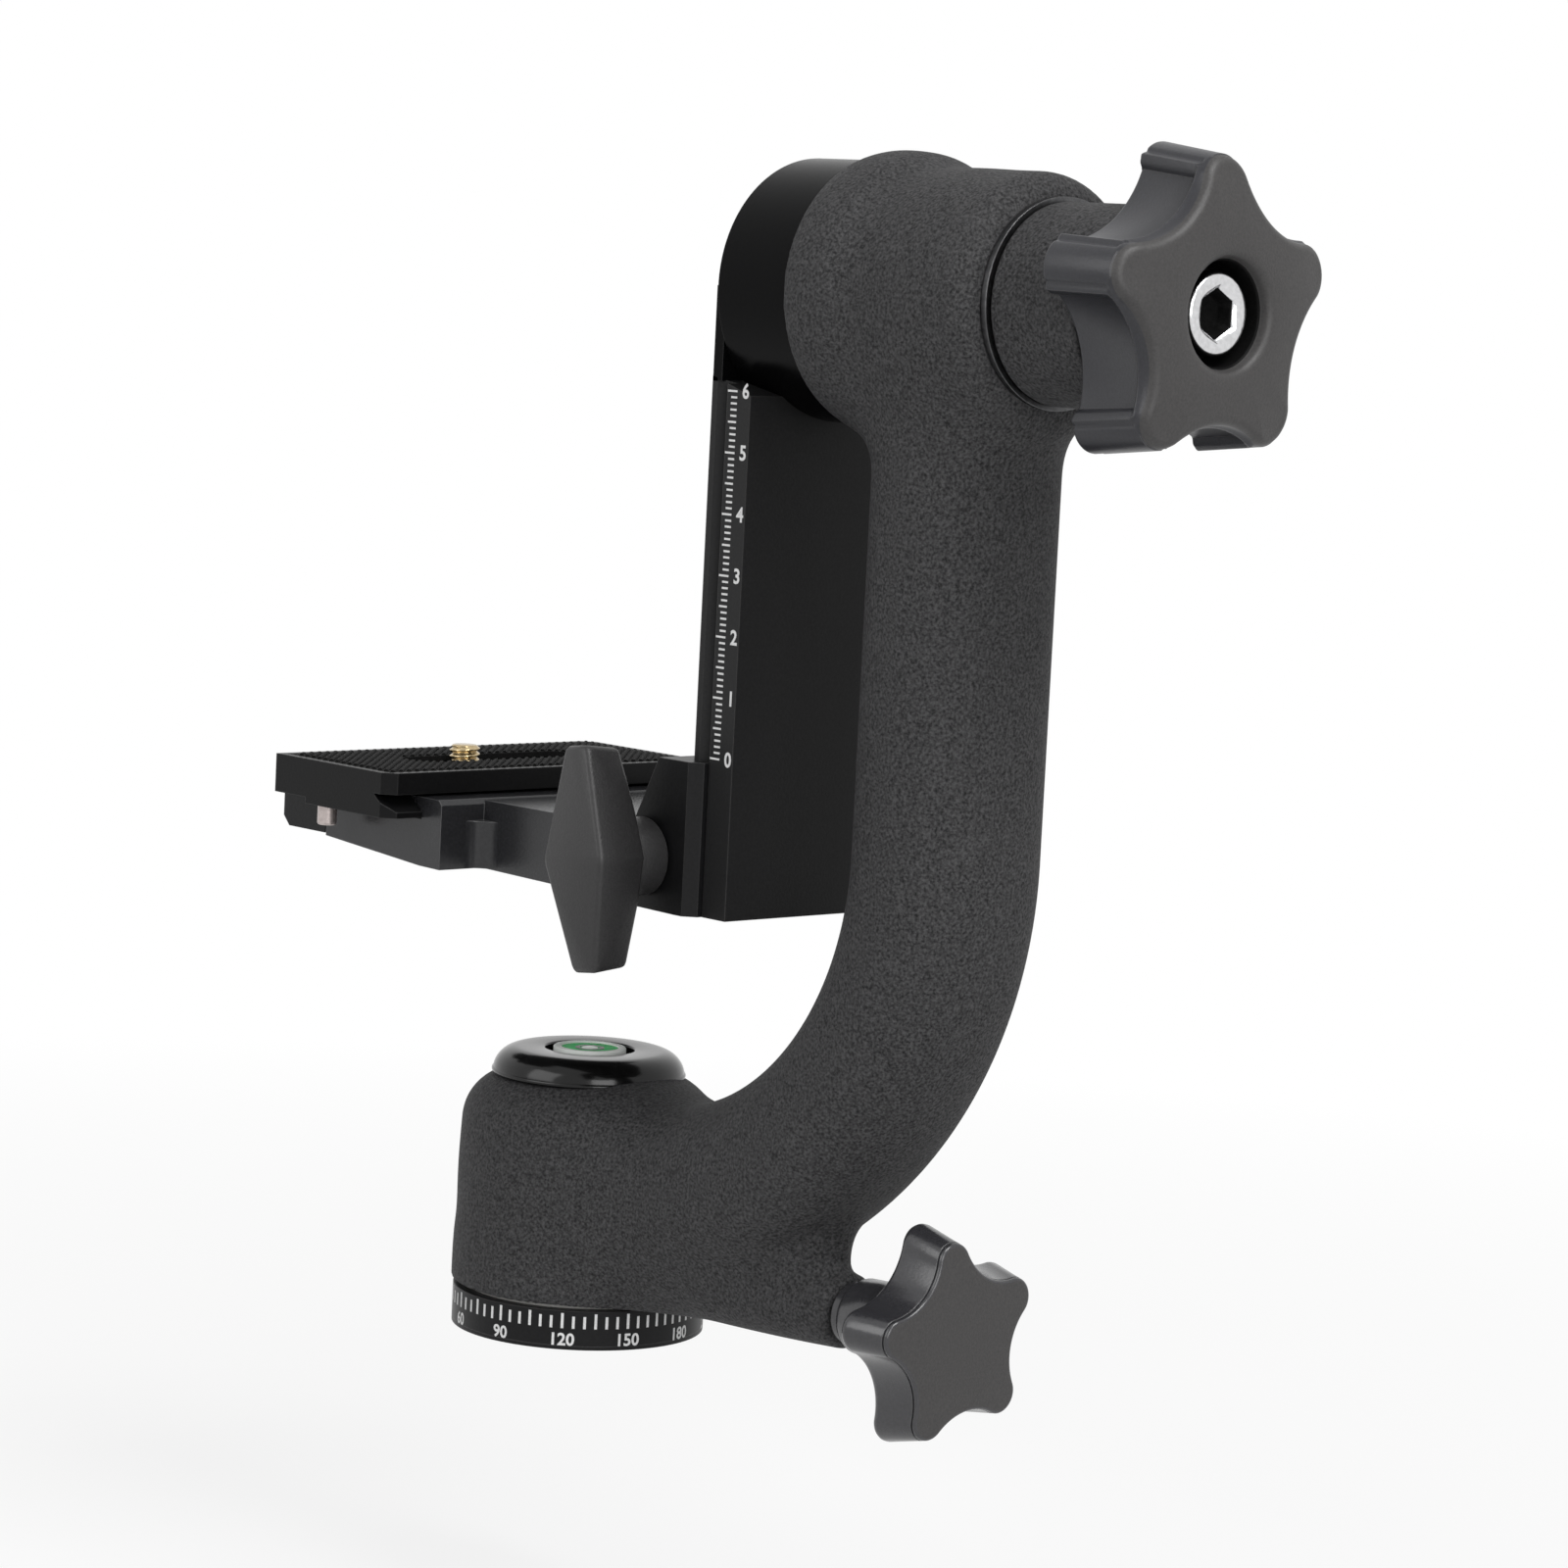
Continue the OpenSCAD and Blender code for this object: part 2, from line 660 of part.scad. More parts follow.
module level_cup() {
    color("#d9dcd8") translate([0, 0, level_seat_h]) difference() {
        cylinder(d = level_d, h = level_h);
        translate([0, 0, level_floor_t]) cylinder(d = level_d - 2 * level_wall, h = level_h);
    }
}

module level_fluid() {
    color("#2fa24b") translate([0, 0, level_seat_h + level_floor_t])
        cylinder(d = level_d - 2 * level_wall - 2 * seat_gap, h = level_h - level_floor_t);
}

module level_lens() {
    chord = level_d / 2;
    dome_r = (chord * chord + level_lens_h * level_lens_h) / (2 * level_lens_h);
    color("#e9f4ee") translate([0, 0, level_seat_h + level_h]) rotate_extrude() intersection() {
        square([chord, level_lens_h]);
        translate([0, level_lens_h - dome_r]) circle(r = dome_r, $fn = 360);
    }
}

module tilt_bush(x) {
    color(bronze_brown) on_tilt_axis()
        ring(tilt_spindle_d / 2 + run_gap, tilt_bush_d / 2, x, x + tilt_bush_len);
}

module tilt_bush_rear() { tilt_bush(hub_back + tilt_bush_inset); }

module tilt_bush_front() { tilt_bush(hub_front - tilt_bush_inset - tilt_bush_len); }

module pan_lock_insert() {
    color("#b8923f") translate([0, 0, pan_lock_h]) rotate([0, 90, 0])
        ring(lock_stud_d / 2 + run_gap, insert_d / 2, boss_end - insert_len, boss_end);
}

module pan_brake_pad() {
    color("#d8d2c0") translate([spindle_r + face_gap, 0, pan_lock_h]) rotate([0, 90, 0])
        cylinder(d = pad_d, h = pad_len);
}

module pan_lock_stud() {
    pad_end = spindle_r + face_gap + pad_len;
    color(steel_grey) translate([pad_end, 0, pan_lock_h]) rotate([0, 90, 0])
        cylinder(d = lock_stud_d, h = pan_knob_x + pan_neck_len + pan_knob_t / 2 - pad_end);
}

// Five-lobed star: round lobes joined by hollows that bite a little way into them
module star(tip_r, lobe_r, valley_r) {
    a = tip_r - lobe_r;
    c = cos(36);
    hollow_r = (a * a + valley_r * valley_r - 2 * a * valley_r * c - lobe_r * lobe_r)
        / (2 * (lobe_r - valley_r + a * c));
    hollow_d = valley_r + hollow_r;
    lean = atan2(hollow_d * sin(36), hollow_d * c - a);
    bite = 0.05;
    reach = lobe_r + 0.4;
    difference() {
        union() {
            polygon([for (i = [0:4], s = [-1, 1]) let (g = 72 * i)
                [a * cos(g) + reach * cos(g + s * lean), a * sin(g) + reach * sin(g + s * lean)]]);
            for (i = [0:4]) rotate(72 * i) translate([a, 0]) circle(r = lobe_r);
        }
        for (i = [0:4]) rotate(72 * i + 36) translate([hollow_d, 0]) circle(r = hollow_r + bite);
    }
}

// Disc with a rounded rim, used to round the lobes of a star knob
module rounded_disc(r, h, edge) {
    rotate_extrude() translate([0, h / 2]) intersection() {
        rounded_rect(2 * r, h, edge);
        translate([0, -h]) square([r, 2 * h]);
    }
}

// Star knob along +Z standing on z = 0, its first lobe turned by an angle. The lobes
// lean in towards the face by the draft, and the face is domed by the crown.
module star_knob(d, t, turn, draft, crown) {
    tip_r = d / 2;
    face_r = tip_r * draft;
    edge = d * 0.045;
    dome_r = (tip_r * tip_r + crown * crown) / (2 * crown);
    rotate(turn) intersection() {
        linear_extrude(height = t) star(tip_r, d * knob_lobe, d * knob_valley);
        rotate_extrude() intersection() {
            polygon([
                [0, 0], [tip_r - edge / 2, 0], [tip_r + edge * 0.15, edge / 2], [face_r, t - edge],
                [face_r - edge * 0.3, t - edge * 0.3], [face_r - edge, t], [0, t]
            ]);
            translate([0, t - dome_r]) circle(r = dome_r, $fn = 360);
        }
    }
}

module pan_lock_knob() {
    turn = 180 + 9.3;
    draft = 0.87;
    crown = 0.6;
    collar_d = 12.4;
    collar_len = 2.5;
    color(plastic_grey) translate([pan_knob_x, 0, pan_lock_h]) rotate([0, 90, 0]) difference() {
        union() {
            translate([0, 0, pan_neck_len]) star_knob(pan_knob_d, pan_knob_t, turn, draft, crown);
            cylinder(d = collar_d, h = collar_len + 1);
            translate([0, 0, collar_len])
                cylinder(d1 = pan_neck_d, d2 = pan_neck_d + 2, h = pan_neck_len - collar_len + 1);
        }
        translate([0, 0, -1])
            cylinder(d = lock_stud_d + 2 * seat_gap, h = pan_neck_len + pan_knob_t / 2 + 1);
    }
}

// Cross-section of the rail with its dovetail grooves, drawn from the rear face at x = 0
module rail_section() {
    half = rail_w / 2;
    difference() {
        translate([0, -half]) square([rail_t, rail_w]);
        for (s = [-1, 1]) scale([1, s]) polygon([
            [rail_land, half + eps], [rail_land, half],
            [rail_land + rail_groove_w, half - rail_groove_depth],
            [rail_land + rail_groove_w, half + eps]
        ]);
    }
}

module swing_arm() {
    groove_top = tilt_h - swing_d / 2 + groove_run;
    color(anodised_black) difference() {
        union() {
            on_tilt_axis() translate([0, 0, swing_back])
                cylinder(d = swing_d, h = swing_front - swing_back);
            translate([swing_back, 0, rail_end_h]) linear_extrude(height = groove_top - rail_end_h)
                rail_section();
            translate([swing_back, -rail_w / 2, groove_top - eps])
                cube([rail_t, rail_w, tilt_h - groove_top]);
        }
        on_tilt_axis() translate([0, 0, swing_back - 1])
            cylinder(d = tilt_flange_d + 2 * seat_gap, h = 1 + tilt_flange_recess + tilt_flange_t);
        on_tilt_axis() translate([0, 0, swing_back - 1])
            cylinder(d = tilt_spindle_d + 2 * seat_gap, h = swing_d);
        flange_screw_places() cylinder(d = flange_screw_d + 2 * seat_gap, h = flange_screw_len);
        translate([swing_back - 1, 0, stop_pin_h]) rotate([0, 90, 0])
            cylinder(d = stop_pin_d + 2 * seat_gap, h = 1 + stop_pin_depth);
    }
}

module tilt_spindle() {
    color(steel_grey) difference() {
        on_tilt_axis() union() {
            translate([0, 0, flange_x]) cylinder(d = tilt_flange_d, h = tilt_flange_t);
            translate([0, 0, flange_x]) cylinder(d = tilt_spindle_d, h = thread_start - flange_x);
            translate([0, 0, flange_x]) cylinder(d = tilt_thread_d, h = spindle_end - flange_x);
        }
        flange_screw_places()
            countersunk_hole(flange_screw_d, flange_screw_head_d, flange_screw_len, seat_gap);
        on_tilt_axis() translate([0, 0, spindle_end - knob_screw_len - 1])
            cylinder(d = knob_screw_d + 2 * seat_gap, h = knob_screw_len + 2);
    }
}

module flange_screws() {
    color(steel_grey) flange_screw_places()
        countersunk_screw(flange_screw_d, flange_screw_head_d, flange_screw_len);
}

module tilt_thrust_washer() {
    color("#e8e6df") on_tilt_axis()
        ring(tilt_bush_d / 2 + 1, swing_d / 2 - 1, swing_front, swing_front + tilt_washer_t);
}

module rail_stop_pin() {
    color(steel_grey) translate([swing_back - stop_pin_reach, 0, stop_pin_h]) rotate([0, 90, 0])
        cylinder(d = stop_pin_d, h = stop_pin_reach + stop_pin_depth);
}

module knob_washer() {
    color(steel_grey) on_tilt_axis()
        ring(knob_screw_d / 2 + seat_gap, knob_washer_d / 2, spindle_end, spindle_end + knob_washer_t);
}

module knob_screw() {
    head_x = spindle_end + knob_washer_t;
    key_r = knob_screw_key / 2 / cos(30);
    color("#d5d7da") on_tilt_axis() difference() {
        union() {
            translate([0, 0, spindle_end - knob_screw_len])
                cylinder(d = knob_screw_d, h = head_x - spindle_end + knob_screw_len + 1);
            translate([0, 0, head_x]) rounded_disc(knob_screw_head_d / 2, knob_screw_head_h, 0.8);
        }
        translate([0, 0, head_x + 1]) cylinder(r = key_r, h = knob_screw_head_h, $fn = 6);
    }
}

module steel_washer() {
    color("#d5d7da") on_tilt_axis()
        ring(tilt_spindle_d / 2 + run_gap, steel_washer_d / 2, washer_x, disc_x);
}

module friction_disc() {
    color(casting_grey) on_tilt_axis() difference() {
        translate([0, 0, disc_x]) rounded_disc(disc_d / 2, disc_t, 0.8);
        translate([0, 0, disc_x - 1]) cylinder(d = tilt_spindle_d + 2 * run_gap, h = disc_t + 2);
        translate([0, 0, boss_x - slide_gap])
            cylinder(d = knob_boss_d + 2 * run_gap, h = knob_boss_len + 2);
    }
}

module tilt_knob() {
    turn = 180 + 1.8;
    draft = 0.92;
    chamfer = 0.7;
    color(plastic_grey) on_tilt_axis() difference() {
        union() {
            translate([0, 0, knob_x])
                star_knob(tilt_knob_d, tilt_knob_t, turn, draft, tilt_knob_crown);
            translate([0, 0, boss_x]) cylinder(d = knob_boss_d, h = knob_boss_len + 1);
        }
        translate([0, 0, boss_x - 1]) cylinder(d = knob_insert_d + 2 * seat_gap, h = recess_x - boss_x);
        translate([0, 0, recess_x - 2]) cylinder(d = knob_recess_d, h = knob_recess_depth + 3);
        translate([0, 0, knob_face - chamfer])
            cylinder(d1 = knob_recess_d, d2 = knob_recess_d + 2 * chamfer, h = chamfer + eps);
        for (i = [0:4]) translate([0, 0, knob_x]) rotate(turn + 36 + 72 * i) knob_panel();
    }
}

// Sunk panel in the hollow between two lobes, open at the rear of the knob
module knob_panel() {
    depth = 0.8;
    front_band = 5.5;
    panel_w = tilt_knob_d * 0.25;
    translate([tilt_knob_d * knob_valley - depth, -panel_w / 2, -1])
        cube([depth * 4, panel_w, tilt_knob_t - front_band + 1]);
}

module tilt_knob_insert() {
    color(steel_grey) on_tilt_axis()
        ring(tilt_thread_d / 2 + run_gap, knob_insert_d / 2, boss_x, recess_x - 1);
}

// Corner piece with a hollow round face
module cove(r) {
    difference() {
        square([r, r]);
        translate([r, r]) circle(r = r);
    }
}

// Outline of the bracket seen from the side: support arm, gusset and rail clamp
module bracket_side() {
    polygon([
        [bed_end, rail_end_h + support_rise], [plate_edge, rail_end_h + support_step],
        [clamp_front, rail_end_h],
        [clamp_front, clamp_top], [clamp_top_x, clamp_top], [clamp_foot_x, support_top],
        [jaw_outer, support_top], [jaw_outer, bed_top], [bed_end, bed_top]
    ]);
}

// Extrudes a side outline across Y between two places
module across(y0, y1) {
    translate([0, y1, 0]) rotate([90, 0, 0]) linear_extrude(height = y1 - y0) children();
}

// Half of the dovetail grip on the rail's edge, seen from above, on the +Y side
module rail_grip() {
    half = rail_w / 2;
    translate([swing_back, 0]) polygon([
        [-face_gap * 2 - eps, half + slide_gap], [rail_land - slide_gap / 2, half + slide_gap],
        [clamp_tip - swing_back, half - rail_groove_depth + slide_gap * 2],
        [clamp_tip - swing_back, half + 1],
        [rail_land + 0.6, clamp_block_w / 2], [-face_gap * 2 - eps, clamp_block_w / 2]
    ]);
}

// Upper part of a jaw that grips the plate's dovetail, seen from the side, on the +X side
module plate_grip(outer) {
    polygon([
        [plate_edge + slide_gap, bed_top - eps], [plate_edge + slide_gap, flank_h],
        [plate_edge - plate_undercut + slide_gap + 0.8, neck_h - slide_gap - 0.4],
        [outer - 1, neck_h - slide_gap - 0.4],
        [outer, neck_h - 1.6], [outer, bed_top - eps]
    ]);
}

module platform_bracket() {
    color(anodised_black) difference() {
        union() {
            across(-support_w / 2, support_w / 2) intersection() {
                bracket_side();
                translate([bed_end, 0]) square([clamp_foot_x - bed_end + eps, clamp_top]);
            }
            across(jaw_split + open_gap, clamp_block_w / 2) intersection() {
                bracket_side();
                translate([clamp_foot_x, 0]) square([clamp_front - clamp_foot_x, clamp_top]);
            }
            across(-plate_clamp_len / 2, plate_clamp_len / 2) intersection() {
                bracket_side();
                translate([bed_end, 0]) square([jaw_outer - bed_end, bed_top]);
            }
            across(-plate_clamp_len / 2, plate_clamp_len / 2) plate_grip(jaw_outer);
            for (s = [-1, 1]) scale([1, s, 1])
                translate([jaw_outer - eps, support_w / 2 - eps, rail_end_h + support_step])
                linear_extrude(height = bed_top - rail_end_h - support_step) cove(support_cove);
            translate([0, 0, rail_end_h]) linear_extrude(height = clamp_block_h) rail_grip();
        }
        translate([clamp_front - stop_pin_reach - 0.5, -stop_pin_d / 2 - slide_gap, rail_end_h - 1])
            cube([
                stop_pin_reach + 2, stop_pin_d + 2 * slide_gap,
                1 + stop_pin_rise + stop_pin_d / 2 + face_gap
            ]);
        translate([wing_x, jaw_split - 1, wing_h]) rotate([-90, 0, 0])
            cylinder(d = lock_stud_d + 2 * run_gap, h = rail_jaw_t + stud_room);
        translate([moving_outer - 1, 0, plate_screw_h]) rotate([0, 90, 0])
            cylinder(d = lock_stud_d + 2 * run_gap, h = plate_edge - moving_outer);
        for (s = [-1, 1]) translate([bed_end - 1, s * guide_pin_span / 2, plate_screw_h])
            rotate([0, 90, 0])
            cylinder(d = guide_pin_d + 2 * seat_gap, h = guide_pin_len / 2 + 1);
    }
}

module guide_pins() {
    color(steel_grey) for (s = [-1, 1])
        translate([bed_end - guide_pin_len / 2, s * guide_pin_span / 2, plate_screw_h]) rotate([0, 90, 0])
            cylinder(d = guide_pin_d, h = guide_pin_len);
}

module rail_jaw() {
    color(anodised_black) difference() {
        union() {
            across(-clamp_block_w / 2, jaw_split) intersection() {
                bracket_side();
                translate([clamp_foot_x + face_gap * 3, 0])
                    square([clamp_front - clamp_foot_x, clamp_top]);
            }
            translate([0, 0, rail_end_h]) linear_extrude(height = clamp_block_h) mirror([0, 1])
                rail_grip();
        }
        translate([wing_x, -clamp_block_w, wing_h]) rotate([-90, 0, 0])
            cylinder(d = lock_stud_d + 2 * run_gap, h = 2 * clamp_block_w);
    }
}

// Lozenge wing standing on z = 0: long along Y, its depth along +Z
module wing_blade(len, mid_w, end_w) {
    intersection() {
        linear_extrude(height = wing_depth) polygon([for (s = [-1, 1]) each [
            [-s * end_w / 2, s * len / 2], [s * end_w / 2, s * len / 2], [s * mid_w / 2, 0]
        ]]);
        rotate([0, -90, 0]) translate([0, 0, -mid_w]) linear_extrude(height = 2 * mid_w) polygon([
            [0, -mid_w / 2], [wing_depth - wing_end_depth, -len / 2], [wing_depth, -len / 2],
            [wing_depth, len / 2], [wing_depth - wing_end_depth, len / 2], [0, mid_w / 2]
        ]);
    }
}

// Wing knob along +Z: a round stem on z = 0 that carries the blade
module wing_shape(len, mid_w, end_w, stem_d, stem_len) {
    difference() {
        union() {
            cylinder(d = stem_d, h = stem_len + 1);
            translate([0, 0, stem_len]) wing_blade(len, mid_w, end_w);
        }
        translate([0, 0, -1]) cylinder(d = lock_stud_d + 2 * seat_gap, h = 1 + stem_len + wing_depth / 2);
    }
}

module wing_stud() {
    outer = clamp_block_w / 2 + face_gap + wing_stem_len + wing_depth / 2;
    color(steel_grey) translate([wing_x, -outer, wing_h]) rotate([-90, 0, 0])
        cylinder(d = lock_stud_d, h = outer + jaw_split + stud_reach);
}

module wing_knob() {
    lean = 7;
    color(plastic_grey) translate([wing_x, -clamp_block_w / 2 - face_gap, wing_h]) rotate([90, 0, 0])
        rotate(lean) wing_shape(wing_len, wing_w, wing_end_w, wing_stem_d, wing_stem_len);
}

module plate_jaw() {
    foot_rise = 0.5;
    jaw_bottom = rail_end_h + support_rise + foot_rise;
    color(anodised_black) difference() {
        union() {
            across(-plate_clamp_len / 2, plate_clamp_len / 2) polygon([
                [moving_outer, jaw_bottom + 2], [moving_outer + 2, jaw_bottom],
                [bed_end - jaw_open, jaw_bottom],
                [bed_end - jaw_open, bed_top], [moving_outer, bed_top]
            ]);
            across(-plate_clamp_len / 2, plate_clamp_len / 2) translate([2 * plate_x, 0]) mirror([1, 0])
                plate_grip(2 * plate_x - moving_outer);
        }
        translate([moving_outer - 1, 0, plate_screw_h]) rotate([0, 90, 0])
            cylinder(d = lock_stud_d + 2 * run_gap, h = plate_w);
        for (s = [-1, 1]) translate([moving_outer - 1, s * guide_pin_span / 2, plate_screw_h])
            rotate([0, 90, 0])
            cylinder(d = guide_pin_d + 2 * run_gap, h = plate_w);
    }
}

module plate_stud() {
    outer = moving_outer - face_gap - plate_stem_len - wing_depth / 2;
    color(steel_grey) translate([outer, 0, plate_screw_h]) rotate([0, 90, 0])
        cylinder(d = lock_stud_d, h = plate_x - outer);
}

module plate_knob() {
    color(plastic_grey) translate([moving_outer - face_gap, 0, plate_screw_h]) rotate([0, -90, 0])
        wing_shape(plate_wing_len, plate_wing_w, wing_end_w, plate_stem_d, plate_stem_len);
}

// Slot with round ends along Y, centred, from a height up
module slot_cut(w, len, z0, h) {
    translate([0, 0, z0]) linear_extrude(height = h) {
        square([w, len - w], center = true);
        for (s = [-1, 1]) translate([0, s * (len - w) / 2]) circle(d = w);
    }
}

module stop_screw_places() {
    for (a = [0, 180]) translate([plate_x, plate_shift, plate_bottom]) rotate(a)
        translate([-stop_screw_shift, stop_screw_inset - plate_len / 2, 0]) children();
}

module quick_plate() {
    half = plate_w / 2;
    y0 = plate_shift - plate_len / 2;
    chamfer_w = plate_chamfer / sqrt(2);
    color(anodised_black) difference() {
        union() {
            across(y0, y0 + plate_len) translate([plate_x, 0]) polygon([
                [-half, plate_bottom], [half, plate_bottom], [half, flank_h],
                [half - plate_undercut, neck_h],
                [half, neck_h], [half, plate_top], [-half, plate_top], [-half, neck_h],
                [plate_undercut - half, neck_h], [-half, flank_h]
            ]);
            plate_corners() cube([plate_notch_w, plate_block_len, channel_h + eps]);
        }
        translate([plate_x, plate_shift, plate_top - pad_t]) linear_extrude(height = pad_t + 1)
            square([plate_w - 2 * plate_rim, plate_len - 2 * plate_rim], center = true);
        translate([plate_x, plate_shift, 0]) slot_cut(slot_w, slot_len, plate_bottom - 1, plate_t + 2);
        translate([plate_x, plate_shift, 0])
            slot_cut(channel_w, slot_len - slot_w + channel_w, plate_bottom - 1, channel_h + 1);
        stop_screw_places() cylinder(d = stop_screw_d + 2 * seat_gap, h = plate_t / 2);
        plate_corners() translate([-1, -1, -1])
            cube([plate_notch_w + 1, plate_notch_len + 1, plate_notch_h + 1]);
        plate_corners() translate([plate_w, 0, 0]) rotate(45)
            cube([2 * chamfer_w, 2 * chamfer_w, 2 * plate_t + 2], center = true);
    }
}

// Lower corners of the plate at its two blocks, with +X along the plate's width
module plate_corners() {
    for (a = [0, 180]) translate([plate_x, plate_shift, plate_bottom]) rotate(a)
        translate([-plate_w / 2, -plate_len / 2, 0]) children();
}

module plate_pad() {
    margin = 1.5;
    color("#1f1f21") difference() {
        translate([plate_x, plate_shift, plate_top - pad_t]) linear_extrude(height = pad_t) square([
            plate_w - 2 * plate_rim - 2 * seat_gap, plate_len - 2 * plate_rim - 2 * seat_gap
        ], center = true);
        translate([plate_x, plate_shift, 0])
            slot_cut(slot_w + 2 * margin, slot_len + 2 * margin, plate_top - pad_t - 1, pad_t + 2);
    }
}

module plate_stop_screws() {
    socket_d = stop_screw_d * 0.5;
    color("#c8b8b2") stop_screw_places() difference() {
        translate([0, 0, -stop_screw_len])
            rounded_disc(stop_screw_d / 2, stop_screw_len + plate_t / 2, 0.5);
        translate([0, 0, -stop_screw_len - 1]) cylinder(d = socket_d, h = 2.5, $fn = 6);
    }
}

module screw_clip() {
    color(steel_grey) translate([plate_x, camera_y, 0])
        ring(
            camera_shank_d / 2 + run_gap, camera_head_d / 2 - 0.5,
            neck_h - face_gap - clip_t, neck_h - face_gap
        );
}

module camera_screw() {
    coin_w = 1.6;
    color("#c9a24d") translate([plate_x, camera_y, 0]) difference() {
        union() {
            translate([0, 0, head_z]) cylinder(d = camera_head_d, h = camera_head_h);
            translate([0, 0, head_z])
                cylinder(d = camera_shank_d, h = plate_top + face_gap - head_z + eps);
            translate([0, 0, plate_top + face_gap])
                cylinder(d = camera_screw_d, h = camera_screw_reach - face_gap);
        }
        translate([-camera_head_d, -coin_w / 2, head_z - 1]) cube([2 * camera_head_d, coin_w, 2.2]);
    }
}

base_plate();
degree_ring();
pan_spindle();
base_screws();
pan_thrust_washer();
nut_washer();
spindle_nut();
arm_casting();
pan_bush();
level_cap();
level_cup();
level_fluid();
level_lens();
tilt_bush_rear();
tilt_bush_front();
pan_lock_insert();
pan_brake_pad();
pan_lock_stud();
pan_lock_knob();
swing_arm();
tilt_spindle();
flange_screws();
tilt_thrust_washer();
rail_stop_pin();
knob_washer();
knob_screw();
steel_washer();
friction_disc();
tilt_knob();
tilt_knob_insert();
platform_bracket();
guide_pins();
rail_jaw();
wing_stud();
wing_knob();
plate_jaw();
plate_stud();
plate_knob();
quick_plate();
plate_pad();
plate_stop_screws();
screw_clip();
camera_screw();
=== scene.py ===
import bpy
import bmesh
import math
import numpy as np
from mathutils import Matrix, Vector


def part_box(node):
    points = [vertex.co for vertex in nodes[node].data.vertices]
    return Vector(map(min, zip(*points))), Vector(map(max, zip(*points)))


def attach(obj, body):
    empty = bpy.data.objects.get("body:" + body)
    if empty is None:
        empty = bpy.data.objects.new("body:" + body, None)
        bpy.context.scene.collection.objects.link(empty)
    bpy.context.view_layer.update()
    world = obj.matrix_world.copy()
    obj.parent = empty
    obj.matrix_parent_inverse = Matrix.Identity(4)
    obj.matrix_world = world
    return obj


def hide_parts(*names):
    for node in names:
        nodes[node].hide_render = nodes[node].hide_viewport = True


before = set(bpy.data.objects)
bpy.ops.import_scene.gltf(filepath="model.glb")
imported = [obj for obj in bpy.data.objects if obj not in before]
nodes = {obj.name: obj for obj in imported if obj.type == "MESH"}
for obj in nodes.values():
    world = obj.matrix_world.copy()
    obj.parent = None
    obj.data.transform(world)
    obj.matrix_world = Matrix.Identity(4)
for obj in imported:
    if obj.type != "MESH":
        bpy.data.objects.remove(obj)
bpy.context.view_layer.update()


# Studio: a camera at the photograph's place, a plain pale floor well below the head,
# since the tripod that would carry it isn't part of it, and large soft lights round it.
scene = bpy.context.scene
MM = 0.001
azimuth, elevation, roll = math.radians(47.7), math.radians(6.32), math.radians(2.91)
distance, shift_right, shift_down = 972.7, 10.1, 3.04
target = Vector((40, 0, 120))
back = Vector((
    math.sin(azimuth) * math.cos(elevation),
    -math.cos(azimuth) * math.cos(elevation),
    math.sin(elevation),
))
right = Vector((math.cos(azimuth), math.sin(azimuth), 0))
up = back.cross(right)
cam_right = right * math.cos(roll) + up * math.sin(roll)
cam_up = up * math.cos(roll) - right * math.sin(roll)
eye = (target + back * distance + cam_right * shift_right - cam_up * shift_down) * MM
camera = bpy.data.objects.new("camera", bpy.data.cameras.new("camera"))
scene.collection.objects.link(camera)
camera.data.lens = 112.5
camera.data.sensor_width = 36
camera.data.clip_start = 0.01
camera.matrix_world = Matrix((
    (cam_right.x, cam_up.x, back.x, eye.x),
    (cam_right.y, cam_up.y, back.y, eye.y),
    (cam_right.z, cam_up.z, back.z, eye.z),
    (0, 0, 0, 1),
))
scene.camera = camera
scene.view_settings.view_transform = "Standard"

floor_size, floor_h = 40, -0.06
bpy.ops.mesh.primitive_plane_add(size=floor_size, location=(0, 0, floor_h))
floor = bpy.context.object
floor.name = "floor"


def seen_white(tree):
    """One where the camera, a mirror or a glass looks at the backdrop, nought for its plain light."""
    path = tree.nodes.new("ShaderNodeLightPath")
    either = tree.nodes.new("ShaderNodeMath")
    either.operation = "MAXIMUM"
    tree.links.new(path.outputs["Is Camera Ray"], either.inputs[0])
    tree.links.new(path.outputs["Is Glossy Ray"], either.inputs[1])
    any_look = tree.nodes.new("ShaderNodeMath")
    any_look.operation = "MAXIMUM"
    tree.links.new(either.outputs[0], any_look.inputs[0])
    tree.links.new(path.outputs["Is Transmission Ray"], any_look.inputs[1])
    return any_look.outputs[0]


paper = bpy.data.materials.new("floor_paper")
paper.use_nodes = True
sheet = paper.node_tree
sheet_matt = sheet.nodes["Principled BSDF"]
sheet_matt.inputs["Base Color"].default_value = (0.94, 0.94, 0.94, 1)
sheet_matt.inputs["Roughness"].default_value = 0.9
sheet_matt.inputs["Specular IOR Level"].default_value = 0.0
sheet_white = sheet.nodes.new("ShaderNodeEmission")
sheet_white.inputs["Strength"].default_value = 1
sheet_place = sheet.nodes.new("ShaderNodeTexCoord")
sheet_far = sheet.nodes.new("ShaderNodeVectorMath")
sheet_far.operation = "LENGTH"
sheet_fade = sheet.nodes.new("ShaderNodeMapRange")
sheet_fade.inputs["From Min"].default_value = 0.2
sheet_fade.inputs["From Max"].default_value = 0.7
sheet_fade.inputs["To Min"].default_value = 0.8
sheet_fade.inputs["To Max"].default_value = 1.0
sheet_share = sheet.nodes.new("ShaderNodeMath")
sheet_share.operation = "MULTIPLY"
sheet_mix = sheet.nodes.new("ShaderNodeMixShader")
sheet.links.new(sheet_place.outputs["Object"], sheet_far.inputs[0])
sheet.links.new(sheet_far.outputs["Value"], sheet_fade.inputs["Value"])
sheet.links.new(sheet_fade.outputs["Result"], sheet_share.inputs[0])
